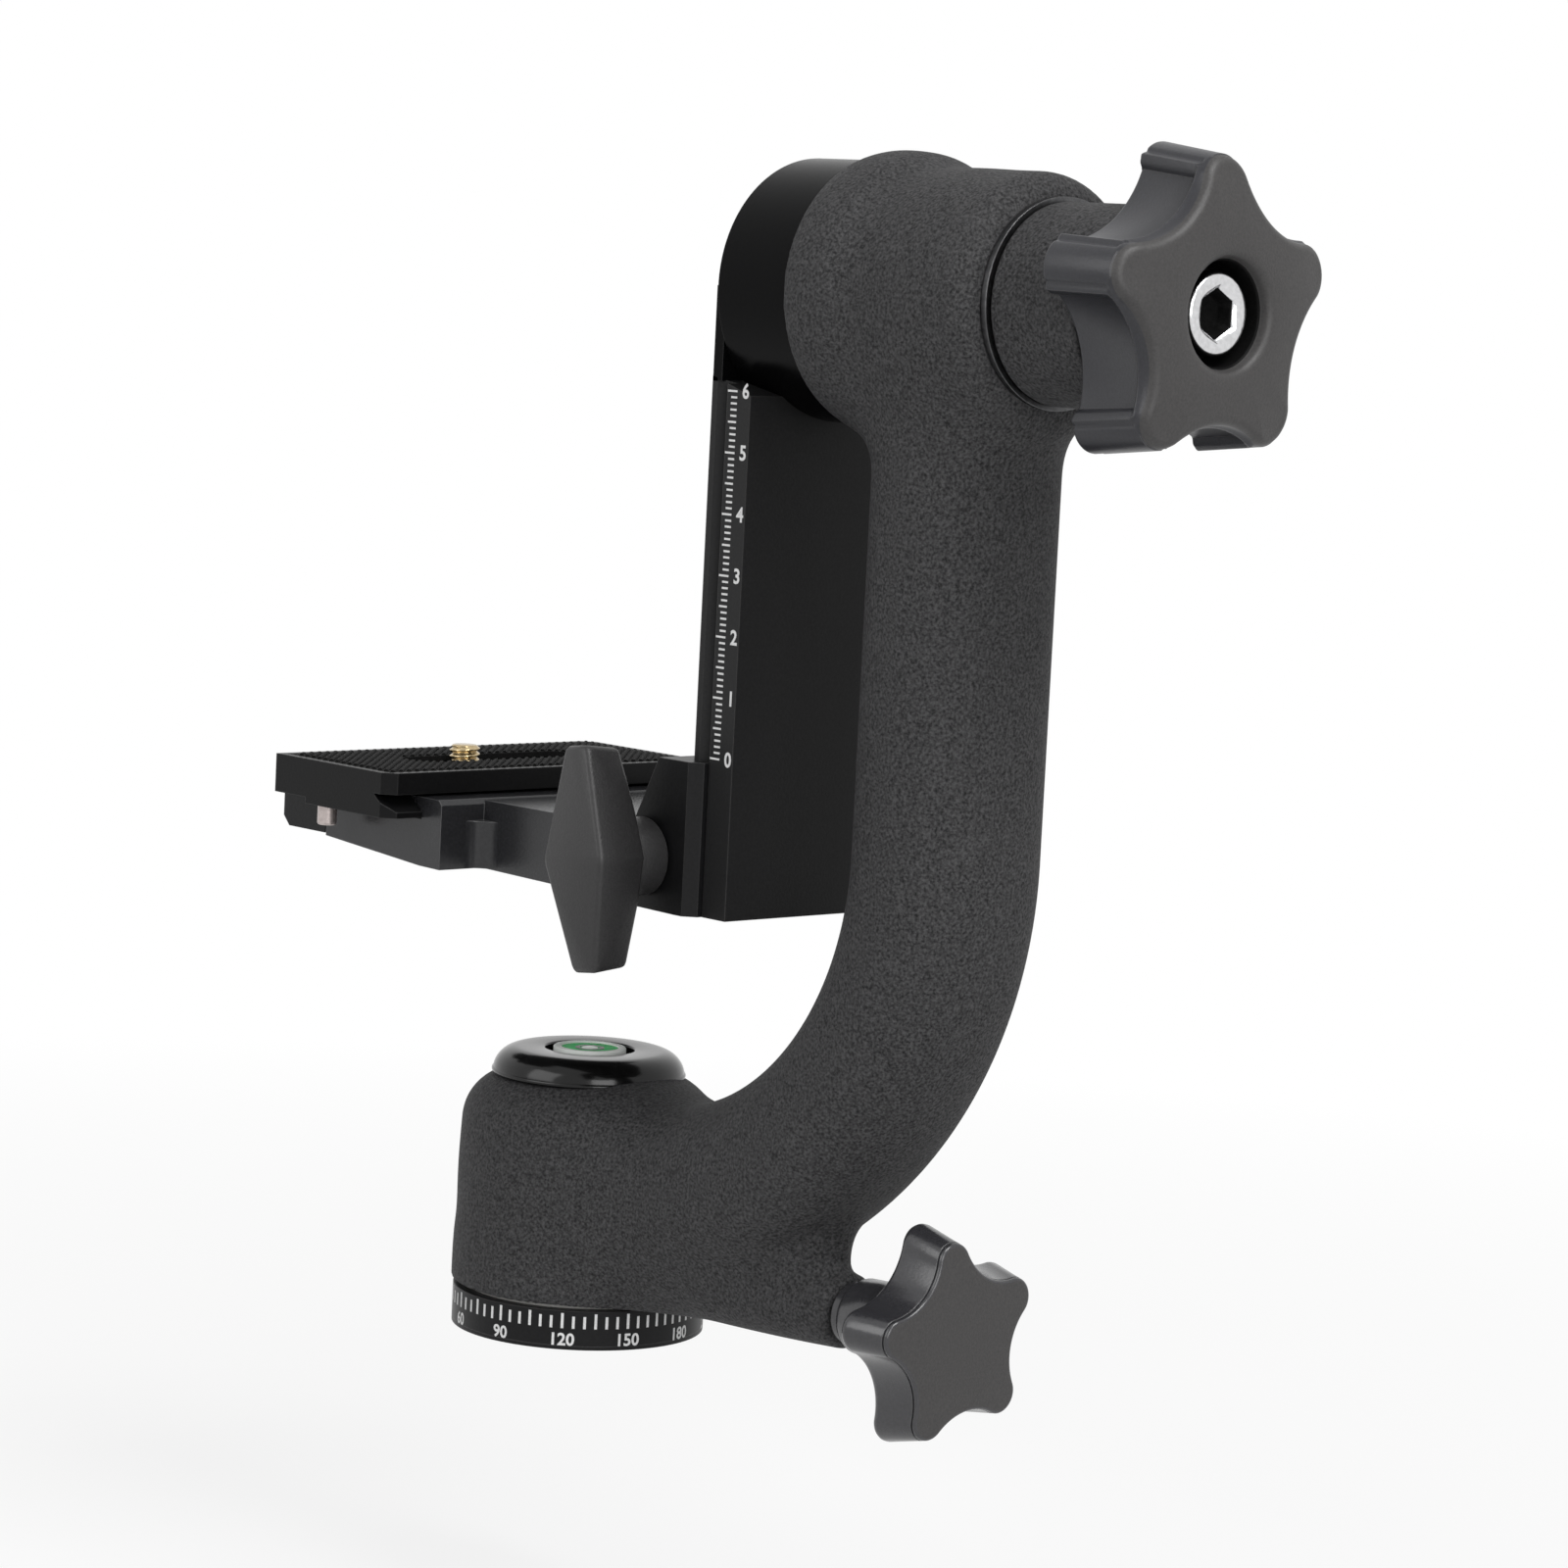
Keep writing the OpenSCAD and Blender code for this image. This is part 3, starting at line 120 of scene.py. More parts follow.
sheet.links.new(seen_white(sheet), sheet_share.inputs[1])
sheet.links.new(sheet_share.outputs[0], sheet_mix.inputs["Fac"])
sheet.links.new(sheet_matt.outputs[0], sheet_mix.inputs[1])
sheet.links.new(sheet_white.outputs[0], sheet_mix.inputs[2])
sheet.links.new(sheet_mix.outputs[0], sheet.nodes["Material Output"].inputs["Surface"])
floor.data.materials.append(paper)

world = bpy.data.worlds.new("studio")
scene.world = world
world.use_nodes = True
sky = world.node_tree
sky.nodes.clear()
sky_out = sky.nodes.new("ShaderNodeOutputWorld")
sky_light = sky.nodes.new("ShaderNodeBackground")
sky_light.inputs["Color"].default_value = (1, 1, 1, 1)
sky_light.inputs["Strength"].default_value = 0.2
sky_seen = sky.nodes.new("ShaderNodeBackground")
sky_seen.inputs["Color"].default_value = (1, 1, 1, 1)
sky_seen.inputs["Strength"].default_value = 1
sky_mix = sky.nodes.new("ShaderNodeMixShader")
sky.links.new(seen_white(sky), sky_mix.inputs["Fac"])
sky.links.new(sky_light.outputs[0], sky_mix.inputs[1])
sky.links.new(sky_seen.outputs[0], sky_mix.inputs[2])
sky.links.new(sky_mix.outputs[0], sky_out.inputs["Surface"])


def softbox(name, offset, size, power):
    """A square lamp at an offset (right, up, towards the eye) from the head, in metres."""
    lamp = bpy.data.lights.new(name, "AREA")
    lamp.shape = "SQUARE"
    lamp.size = size
    lamp.energy = power
    place = target * MM + right * offset[0] + Vector((0, 0, 1)) * offset[1] + back * offset[2]
    box = bpy.data.objects.new(name, lamp)
    scene.collection.objects.link(box)
    box.location = place
    box.rotation_mode = "QUATERNION"
    box.rotation_quaternion = (place - target * MM).to_track_quat("Z", "Y")


softbox("key", (0.45, 0.95, 0.55), size=0.6, power=11)
softbox("side", (-0.9, 0.45, 0.5), size=0.7, power=4.2)
softbox("front", (0.4, 0.2, 1.1), size=0.6, power=5.4)


# Base: the foot and its graduated ring are turned aluminium, black anodised, the ring
# pressed on the foot. Inside it stands the steel pan spindle, held by three screws.
def finish(name, dark, light, rough, grain, bump=0.0, metal=0.0, gloss=0.5, round_edge=0.0003,
           spread=0.5, wear_and_edge_highlight=None):
    """Noise between two colours, a fine bump, rounded edges in the shading and, given an edge colour, paler
    edges: partly wear, partly a painted highlight where the edges catch the light.
    """
    flat_match, edge_match = 0.985, 0.85
    mat = bpy.data.materials.new(name)
    mat.use_nodes = True
    tree = mat.node_tree
    bsdf = tree.nodes["Principled BSDF"]
    bsdf.inputs["Roughness"].default_value = rough
    bsdf.inputs["Metallic"].default_value = metal
    bsdf.inputs["Specular IOR Level"].default_value = gloss
    place = tree.nodes.new("ShaderNodeTexCoord")
    noise = tree.nodes.new("ShaderNodeTexNoise")
    noise.inputs["Scale"].default_value = 1 / grain
    noise.inputs["Detail"].default_value = 3
    noise.inputs["Roughness"].default_value = 0.6
    tree.links.new(place.outputs["Object"], noise.inputs["Vector"])
    ramp = tree.nodes.new("ShaderNodeValToRGB")
    ramp.color_ramp.elements[0].position = 0.5 - spread / 2
    ramp.color_ramp.elements[0].color = (*dark, 1)
    ramp.color_ramp.elements[1].position = 0.5 + spread / 2
    ramp.color_ramp.elements[1].color = (*light, 1)
    tree.links.new(noise.outputs["Fac"], ramp.inputs["Fac"])
    colour = ramp.outputs["Color"]
    edge = tree.nodes.new("ShaderNodeBevel")
    edge.samples = 6
    edge.inputs["Radius"].default_value = round_edge
    # Paler edges where the bevelled normal turns from the face's: partly wear, partly a painted highlight.
    if wear_and_edge_highlight:
        face = tree.nodes.new("ShaderNodeNewGeometry")
        match = tree.nodes.new("ShaderNodeVectorMath")
        match.operation = "DOT_PRODUCT"
        tree.links.new(edge.outputs["Normal"], match.inputs[0])
        tree.links.new(face.outputs["Normal"], match.inputs[1])
        pale_edge_share = tree.nodes.new("ShaderNodeMapRange")
        pale_edge_share.inputs["From Min"].default_value = flat_match
        pale_edge_share.inputs["From Max"].default_value = edge_match
        tree.links.new(match.outputs["Value"], pale_edge_share.inputs["Value"])
        pale_edge_mix = tree.nodes.new("ShaderNodeMix")
        pale_edge_mix.data_type = "RGBA"
        tree.links.new(pale_edge_share.outputs["Result"], pale_edge_mix.inputs["Factor"])
        tree.links.new(colour, pale_edge_mix.inputs["A"])
        pale_edge_mix.inputs["B"].default_value = (*wear_and_edge_highlight, 1)
        colour = pale_edge_mix.outputs["Result"]
    tree.links.new(colour, bsdf.inputs["Base Color"])
    relief = tree.nodes.new("ShaderNodeBump")
    relief.inputs["Strength"].default_value = bump
    relief.inputs["Distance"].default_value = grain
    tree.links.new(noise.outputs["Fac"], relief.inputs["Height"])
    tree.links.new(edge.outputs["Normal"], relief.inputs["Normal"])
    tree.links.new(relief.outputs["Normal"], bsdf.inputs["Normal"])
    return mat


def paint(mat, slot, *names):
    """Gives CAD nodes, by name, a material; the slot argument is not used."""
    for n in names:
        nodes[n].data.materials.clear()
        nodes[n].data.materials.append(mat)
        for poly in nodes[n].data.polygons:
            poly.material_index = 0


anodised = finish("anodised_black", (0.0042, 0.0042, 0.0045), (0.0072, 0.0072, 0.0078),
                  rough=0.38, grain=0.0006, bump=0.06, gloss=0.16, wear_and_edge_highlight=(0.045, 0.044, 0.044))
steel = finish("turned_steel", (0.42, 0.42, 0.43), (0.55, 0.55, 0.56),
               rough=0.32, grain=0.0008, bump=0.02, metal=1.0)
bearing_white = finish("bearing_plastic", (0.7, 0.69, 0.66), (0.78, 0.77, 0.74),
                       rough=0.5, grain=0.001, bump=0.02)
paint(anodised, "anodised", "base_plate")
paint(anodised, "ring", "degree_ring")
paint(steel, "steel", "pan_spindle", "base_screws", "nut_washer", "spindle_nut")
paint(bearing_white, "washer", "pan_thrust_washer")


# Marks of the graduated ring: white paint in engraved lines every five degrees, longer
# every fifteen, with plain numbers below them every thirty degrees.
def piece(name, verts, faces, mat, body, sharp=35, stands_for=()):
    """A mesh in the row frame from points in millimetres, riding on a body."""
    mesh = bpy.data.meshes.new(name)
    mesh.from_pydata([tuple(c * MM for c in v) for v in verts], [], faces)
    mesh.validate()
    fix = bmesh.new()
    fix.from_mesh(mesh)
    bmesh.ops.recalc_face_normals(fix, faces=fix.faces)
    fix.to_mesh(mesh)
    fix.free()
    mesh.shade_smooth()
    mesh.set_sharp_from_angle(angle=math.radians(sharp))
    obj = bpy.data.objects.new(name, mesh)
    scene.collection.objects.link(obj)
    mesh.materials.append(mat)
    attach(obj, body)
    if stands_for:
        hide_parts(*stands_for)
    return obj


def box_into(verts, faces, place, a_ends, b_ends, t_ends):
    """Adds a small box whose corners are placed by place(a, b, t)."""
    n = len(verts)
    (a0, a1), (b0, b1) = a_ends, b_ends
    for t in t_ends:
        for a, b in ((a0, b0), (a1, b0), (a1, b1), (a0, b1)):
            verts.append(place(a, b, t))
    faces += [(n, n + 3, n + 2, n + 1), (n + 4, n + 5, n + 6, n + 7)]
    faces += [(n + i, n + (i + 1) % 4, n + 4 + (i + 1) % 4, n + 4 + i) for i in range(4)]


def digits_into(verts, faces, text, size, place, depth):
    """Adds a plain number, centred, in the plane (a, b) of place, standing depth proud of t = 0."""
    boldness = 0.025
    curve = bpy.data.curves.new("figure", "FONT")
    curve.body = text
    curve.size = size
    curve.offset = size * boldness
    curve.align_x = "CENTER"
    curve.align_y = "CENTER"
    curve.resolution_u = 3
    holder = bpy.data.objects.new("figure", curve)
    scene.collection.objects.link(holder)
    bpy.context.view_layer.update()
    flat = bpy.data.meshes.new_from_object(holder.evaluated_get(bpy.context.evaluated_depsgraph_get()))
    n = len(verts)
    verts += [place(v.co.x, v.co.y, depth) for v in flat.vertices]
    faces += [tuple(n + i for i in p.vertices) for p in flat.polygons]
    bpy.data.objects.remove(holder)
    bpy.data.curves.remove(curve)
    bpy.data.meshes.remove(flat)


white_fill = finish("white_marks", (0.56, 0.56, 0.56), (0.7, 0.7, 0.7),
                    rough=0.6, grain=0.0004, gloss=0.1, round_edge=0.00002)
ring_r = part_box("degree_ring")[1].x / MM
ring_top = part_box("degree_ring")[1].z / MM
ring_zero = -76.8
line_half, line_foot, long_gap, short_gap = 0.28, 3.6, 0.5, 1.1
line_sink, line_proud, number_proud = -0.02, 0.03, 0.04
number_drop, number_size = 6.0, 3.5
ring_verts, ring_faces = [], []
for degree in range(0, 360, 5):
    def on_ring(a, b, t, degree=degree):
        g = math.radians(degree + ring_zero) + a / ring_r
        return ((ring_r + t) * math.sin(g), -(ring_r + t) * math.cos(g), b)
    line_top = ring_top - (long_gap if degree % 15 == 0 else short_gap)
    box_into(ring_verts, ring_faces, on_ring, (-line_half, line_half), (ring_top - line_foot, line_top),
             (line_sink, line_proud))
    if degree % 30 == 0:
        def ring_number(a, b, t, degree=degree):
            return on_ring(a, b + ring_top - number_drop, t, degree)
        digits_into(ring_verts, ring_faces, str(degree), number_size, ring_number, number_proud)
piece("ring_marks", ring_verts, ring_faces, white_fill, "base", sharp=60)


# Arm: one aluminium casting with a fine speckled powder coat. Pan housing, elbow,
# column, tilt hub and lock boss run into each other in large fillets.
casting = finish("powder_coat", (0.0045, 0.0045, 0.005), (0.063, 0.0623, 0.064),
                 rough=0.7, grain=0.0006, bump=0.6, gloss=0.2, round_edge=0.0006, spread=0.36)
bronze = finish("bearing_bronze", (0.35, 0.22, 0.09), (0.48, 0.31, 0.13),
                rough=0.4, grain=0.001, bump=0.05, metal=1.0)
brass = finish("brass", (0.5, 0.34, 0.12), (0.62, 0.44, 0.18),
               rough=0.28, grain=0.0008, bump=0.02, metal=1.0)
paint(bronze, "bronze", "pan_bush", "tilt_bush_rear", "tilt_bush_front")
paint(brass, "brass", "pan_lock_insert")
tilt_h, lock_h = 215.5, 18.4
reach, bend_start, bend_end, root_h = 101.8, 14.0, 110.0, 30.8
root_depth, arm_depth, arm_width, squareness = 37.4, 32.0, 36.0, 2.33
housing_foot, housing_top, housing_edge = 8.9, 52.4, 10
neck_r, flare_out, flare_h, flare_soft = 25.5, 0.95, 21, 1.8
elbow_fillet, elbow_extra, elbow_x, elbow_soft = 11, 6, 24, 4
hub_back, hub_front, barrel_r, barrel_edge = 76.6, 123, 24.2, 5.5
flange_front, hub_flange_r, flange_edge, belly_x, belly_reach = 88.5, 26.1, 1.5, 82, 5
head_low = 186
boss_end, boss_r, boss_edge, boss_root, boss_thick = 82.4, 7.3, 1.2, 26, 2.2
web_half, web_tall, web_tip, web_slope, web_round = 6.6, 22, 81.4, 0.22, 7
spindle_bore, nut_bore, nut_floor = 13, 15.5, 40
tilt_bore, tilt_bore_from, lock_bore, lock_bore_from = 12, 70, 4.5, 55
flange_fillet, head_fillet, web_fillet, boss_fillet = 8, 11, 2, 8


def smooth_union(a, b, k):
    """Two distances joined with a fillet of about k."""
    h = np.clip(0.5 + 0.5 * (b - a) / k, 0, 1)
    return b * (1 - h) + a * h - k * h * (1 - h)


def rounded_can(along, around, lo, hi, r, edge):
    """Distance to a can between lo and hi along its axis with rounded edges."""
    qa = np.abs(along - (lo + hi) / 2) - (hi - lo) / 2 + edge
    qr = around - r + edge
    return np.minimum(np.maximum(qa, qr), 0) + np.hypot(np.maximum(qa, 0), np.maximum(qr, 0)) - edge


def arm_field(x, y, z):
    """Signed distance, near enough, to the casting at points of a grid, in millimetres."""
    q = np.linspace(0, np.pi / 2, 240)
    path_x = np.concatenate([np.linspace(0, bend_start, 20)[:-1],
                             bend_start + (reach - bend_start) * np.sin(q),
                             np.full(60, reach)])
    path_z = np.concatenate([np.full(19, root_h),
                             bend_end - (bend_end - root_h) * np.cos(q),
                             np.linspace(bend_end, tilt_h, 61)[1:]])
    depth = np.concatenate([np.full(19, root_depth),
                            root_depth + (arm_depth - root_depth) * np.sin(q),
                            np.full(60, arm_depth)]) / 2
    gx, gz = np.meshgrid(x, z, indexing="ij")
    offset = np.empty(gx.shape)
    half = np.empty(gx.shape)
    for i in range(len(x)):
        d2 = (gx[i][:, None] - path_x) ** 2 + (gz[i][:, None] - path_z) ** 2
        near = d2.argmin(1)
        offset[i] = np.sqrt(d2[np.arange(len(z)), near])
        half[i] = depth[near]
    n = offset[:, None, :]
    a = half[:, None, :]
    yy = np.abs(y)[None, :, None]
    f = ((n / a) ** squareness + (yy / (arm_width / 2)) ** squareness) ** (1 / squareness)
    ray = np.sqrt(n ** 2 + yy ** 2) + 1e-6
    tube = ray - ray / np.maximum(f, 1e-6)

    xx, zz = x[:, None, None], z[None, None, :]
    axis_d = np.sqrt(xx ** 2 + yy ** 2)
    flare = neck_r + flare_out / (1 + np.exp((zz - flare_h) / flare_soft))
    wall = rounded_can(zz, axis_d - flare, 0, housing_top, 0, housing_edge)
    fillet = elbow_fillet + elbow_extra / (1 + np.exp((elbow_x - xx) / elbow_soft))
    body = smooth_union(tube, wall, fillet)

    hub_d = np.sqrt(yy ** 2 + (zz - tilt_h) ** 2)
    belly = 0.5 * ((xx - belly_x) / belly_reach) ** 2
    flange = rounded_can(xx, hub_d + belly, hub_back, flange_front, hub_flange_r, flange_edge)
    barrel = rounded_can(xx, hub_d, hub_back, hub_front, barrel_r, barrel_edge)
    body = smooth_union(body, smooth_union(flange, barrel, flange_fillet), head_fillet)

    boss_d = np.sqrt(yy ** 2 + (zz - lock_h) ** 2)
    boss_swell = boss_thick * np.clip(1 - ((xx - boss_root) / (boss_end - boss_root)) ** 2, 0, 1)
    boss = rounded_can(xx, boss_d - boss_swell, 0, boss_end, boss_r, boss_edge)
    web_end = web_tip - web_slope * (zz - lock_h) - web_round * (yy / web_half) ** 2
    web = np.maximum(yy - web_half, np.maximum(boss_root - xx, xx - web_end))
    web = np.maximum(web, np.abs(zz - lock_h - web_tall / 2) - web_tall / 2)
    body = smooth_union(body, smooth_union(boss, web, web_fillet), boss_fillet)

    body = np.maximum(body, housing_foot - zz)
    out_of_reach = 200
    body = np.maximum(body, hub_back - xx - out_of_reach * (zz < head_low))
    bore = np.maximum(axis_d - spindle_bore, zz - nut_floor)
    bore = np.minimum(bore, np.maximum(axis_d - nut_bore, nut_floor - 1 - zz))
    body = np.maximum(body, -bore)
    body = np.maximum(body, -np.maximum(hub_d - tilt_bore, tilt_bore_from - xx))
    return np.maximum(body, -np.maximum(boss_d - lock_bore, lock_bore_from - xx))


def surface_net(field, low, step):
    """Quads of the zero surface of a field on a regular grid."""
    inside = field < 0
    nx, ny, nz = field.shape
    count = np.zeros((nx - 1, ny - 1, nz - 1), np.int8)
    corners = [(i, j, k) for i in (0, 1) for j in (0, 1) for k in (0, 1)]
    for i, j, k in corners:
        count += inside[i:nx - 1 + i, j:ny - 1 + j, k:nz - 1 + k]
    cells = np.argwhere((count > 0) & (count < 8))
    index = np.full(count.shape, -1)
    index[tuple(cells.T)] = np.arange(len(cells))
    total = np.zeros((len(cells), 3))
    hits = np.zeros(len(cells))
    for p in corners:
        for axis in range(3):
            if p[axis]:
                continue
            p2 = tuple(1 if m == axis else p[m] for m in range(3))
            f0 = field[tuple((cells + p).T)]
            f1 = field[tuple((cells + p2).T)]
            crossed = (f0 < 0) != (f1 < 0)
            share = np.where(crossed, f0 / np.where(crossed, f0 - f1, 1), 0)
            spot = np.repeat(np.array([p], float), len(cells), 0)
            spot[:, axis] = share
            total += np.where(crossed[:, None], spot, 0)
            hits += crossed
    verts = (cells + total / hits[:, None]) * step + low
    faces = []
    for axis in range(3):
        lead = [slice(None)] * 3
        trail = [slice(None)] * 3
        lead[axis], trail[axis] = slice(1, None), slice(None, -1)
        here, there = inside[tuple(trail)], inside[tuple(lead)]
        b, c = (axis + 1) % 3, (axis + 2) % 3
        for flip in (False, True):
            edges = np.argwhere(here & ~there) if flip else np.argwhere(~here & there)
            keep = (edges[:, b] > 0) & (edges[:, b] < count.shape[b])
            keep &= (edges[:, c] > 0) & (edges[:, c] < count.shape[c])
            edges = edges[keep]
            ring = []
            for db, dc in ((-1, -1), (0, -1), (0, 0), (-1, 0)):
                cell = edges.copy()
                cell[:, b] += db
                cell[:, c] += dc
                ring.append(index[tuple(cell.T)])
            quad = np.stack(ring, 1)
            faces.append(quad if flip else quad[:, ::-1])
    return verts, np.concatenate(faces)


step = 0.8
grid = [np.arange(lo, hi, step) for lo, hi in ((-30.5, 126), (-30.5, 31), (6.4, 245))]
skin_verts, skin_faces = surface_net(arm_field(*grid), np.array([g[0] for g in grid]), step)
piece("arm_skin", [tuple(v) for v in skin_verts.tolist()], [tuple(f) for f in skin_faces.tolist()],
      casting, "arm", sharp=50, stands_for=("arm_casting",))


# Level: a gloss black cap screwed into the housing over the spindle nut, with a bubble level in its window:
# pale cup, green fluid and a clear lens. The air bubble is painted light: a black ring as the painted shade
# of its rim, a pale dome as its painted highlight.
def lathe(name, profile, mat, body, place, stands_for=(), sides=128):
    """A turned piece from (radius, height) pairs; place maps (a, b, height) to the row frame."""
    verts, faces = [], []
    for r, h in profile:
        for k in range(sides):
            g = 2 * math.pi * k / sides
            verts.append(place(r * math.cos(g), r * math.sin(g), h))
    for i in range(len(profile) - 1):
        for k in range(sides):
            k2 = (k + 1) % sides
            faces.append((i * sides + k, i * sides + k2, (i + 1) * sides + k2, (i + 1) * sides + k))
    if profile[0] != profile[-1]:
        faces.append(tuple(range(sides - 1, -1, -1)))
        faces.append(tuple(range((len(profile) - 1) * sides, len(profile) * sides)))
    piece(name, verts, faces, mat, body, stands_for=stands_for)


def arc(cx, cy, r, a0, a1, n):
    """Points of an arc in a profile, angles in degrees."""
    turns = [math.radians(a0 + (a1 - a0) * i / n) for i in range(n + 1)]
    return [(cx + r * math.cos(g), cy + r * math.sin(g)) for g in turns]


def upright(a, b, h):
    """Round the pan axis."""
    return (a, b, h)


gloss_black = finish("gloss_black", (0.003, 0.003, 0.003), (0.0045, 0.0045, 0.0045),
                     rough=0.16, grain=0.002, bump=0.01, gloss=0.3, round_edge=0.0002)
cap_profile = [(0.01, 53.0), (9.2, 53.0), (9.2, 57.2)]
cap_profile += arc(9.6, 57.2, 0.4, 180, 90, 4)
cap_profile += arc(14.6, 52.4, 5.2, 90, 10, 12)
cap_profile += [(19.4, 53.15)]
cap_profile += arc(19.4, 52.75, 0.6, 80, -40, 8)
cap_profile += [(19.2, 52.2), (15.4, 52.2), (15.4, 47.6), (0.01, 47.6)]
lathe("cap_shell", cap_profile, gloss_black, "arm", upright, ("level_cap",))
pale_cup = finish("pale_cup", (0.82, 0.86, 0.82), (0.9, 0.93, 0.9),
                  rough=0.6, grain=0.002, bump=0.02, gloss=0.1)
cup_profile = [(5.9, 53.1), (5.9, 57.7), (6.1, 57.95), (7.2, 57.95), (7.5, 57.7), (7.5, 53.1), (5.9, 53.1)]
lathe("cup_shell", cup_profile, pale_cup, "arm", upright, ("level_cup",))
fluid = finish("green_fluid", (0.01, 0.5, 0.1), (0.03, 0.72, 0.18), rough=0.6, grain=0.003, gloss=0.0)
fluid_profile = [(0.01, 53.1), (5.88, 53.1), (5.88, 57.6), (0.01, 57.6)]
lathe("fluid_disc", fluid_profile, fluid, "arm", upright, ("level_fluid",))
clear = finish("clear_lens", (0.95, 0.99, 0.97), (0.98, 1.0, 0.99), rough=0.02, grain=0.004, gloss=0.1)
clear.node_tree.nodes["Principled BSDF"].inputs["Alpha"].default_value = 0.06
lens_profile = [(5.88, 57.62), (5.88, 57.76), (4.5, 57.96), (3.0, 58.1), (1.5, 58.18), (0.01, 58.2)]
lathe("lens_dome", lens_profile, clear, "arm", upright, ("level_lens",))
# Black ring round the bubble: painted shade of the bubble's rim.
bubble_rim_shade = finish("bubble_dark_rim", (0.004, 0.006, 0.004), (0.008, 0.012, 0.008), rough=0.4, grain=0.001)
circle_profile = [(2.1, 57.59), (2.1, 57.68), (3.0, 57.68), (3.0, 57.59), (2.1, 57.59)]
lathe("bubble_dark_rim", circle_profile, bubble_rim_shade, "arm", upright)
# Pale dome: the bubble drawn as its painted highlight.
bubble_highlight = finish("air_bubble_highlight", (0.7, 0.8, 0.7), (0.9, 0.95, 0.9), rough=0.2, grain=0.002)
bubble_profile = [(1.75, 57.59), (1.7, 57.69), (1.3, 57.79), (0.7, 57.87), (0.01, 57.89)]
lathe("bubble_highlight_dome", bubble_profile, bubble_highlight, "arm", upright)


# Pan lock: a nylon plug that presses on the spindle, driven by a steel screw with a
# dark plastic five-lobed knob.
paint(bearing_white, "washer", "pan_brake_pad")
paint(steel, "steel", "pan_lock_stud")
plastic = finish("knob_plastic", (0.029, 0.028, 0.028), (0.046, 0.044, 0.0435),
                 rough=0.46, grain=0.0005, bump=0.14, gloss=0.35, wear_and_edge_highlight=(0.085, 0.083, 0.082))
# The hole in the knob's face is the same plastic, painted near black as painted shade.
recess_shade = finish("knob_recess_shade", (0.003, 0.003, 0.003), (0.006, 0.006, 0.006),
                rough=0.5, grain=0.0006, bump=0.1, gloss=0.06)
gloss_flank = finish("gloss_flank", (0.02, 0.02, 0.0225), (0.031, 0.0305, 0.034),
                     rough=0.2, grain=0.0006, bump=0.05, gloss=0.6, wear_and_edge_highlight=(0.08, 0.08, 0.08))
lobe_turn, half_lobe = math.radians(72), math.radians(36)
star_points = 720


def star_radius(angle, tip, lobe, valley):
    """Radius of a five-lobed star with round lobes and round hollows, at angles in radians from a lobe."""
    a = tip - lobe
    c = math.cos(half_lobe)
    hollow = (a * a + valley * valley - 2 * a * valley * c - lobe * lobe) / (2 * (lobe - valley + a * c))
    far = valley + hollow
    lean = math.atan2(far * math.sin(half_lobe), far * c - a)
    turn_over = math.atan2(lobe * math.sin(lean), a + lobe * math.cos(lean))
    t = np.abs((angle + half_lobe) % lobe_turn - half_lobe)
    on_lobe = a * np.cos(t) + np.sqrt(np.maximum(lobe ** 2 - (a * np.sin(t)) ** 2, 0))
    p = half_lobe - t
    on_hollow = far * np.cos(p) - np.sqrt(np.maximum(hollow ** 2 - (far * np.sin(p)) ** 2, 0))
    return np.where(t <= turn_over, on_lobe, on_hollow)


def skin_rings(name, rings, mat, body, stands_for, sharp, looped=False):
    """A piece stretched over rings of equally many points, with flat ends or joined end to start."""
    n = len(rings[0])
    verts = [tuple(map(float, v)) for ring in rings for v in ring]
    faces = []
    for i in range(len(rings) if looped else len(rings) - 1):
        j = (i + 1) % len(rings)
        faces += [(i * n + k, i * n + (k + 1) % n, j * n + (k + 1) % n, j * n + k) for k in range(n)]
    if not looped:
        faces += [tuple(range(n)), tuple(range((len(rings) - 1) * n, len(rings) * n))]
    return piece(name, verts, faces, mat, body, sharp, stands_for)


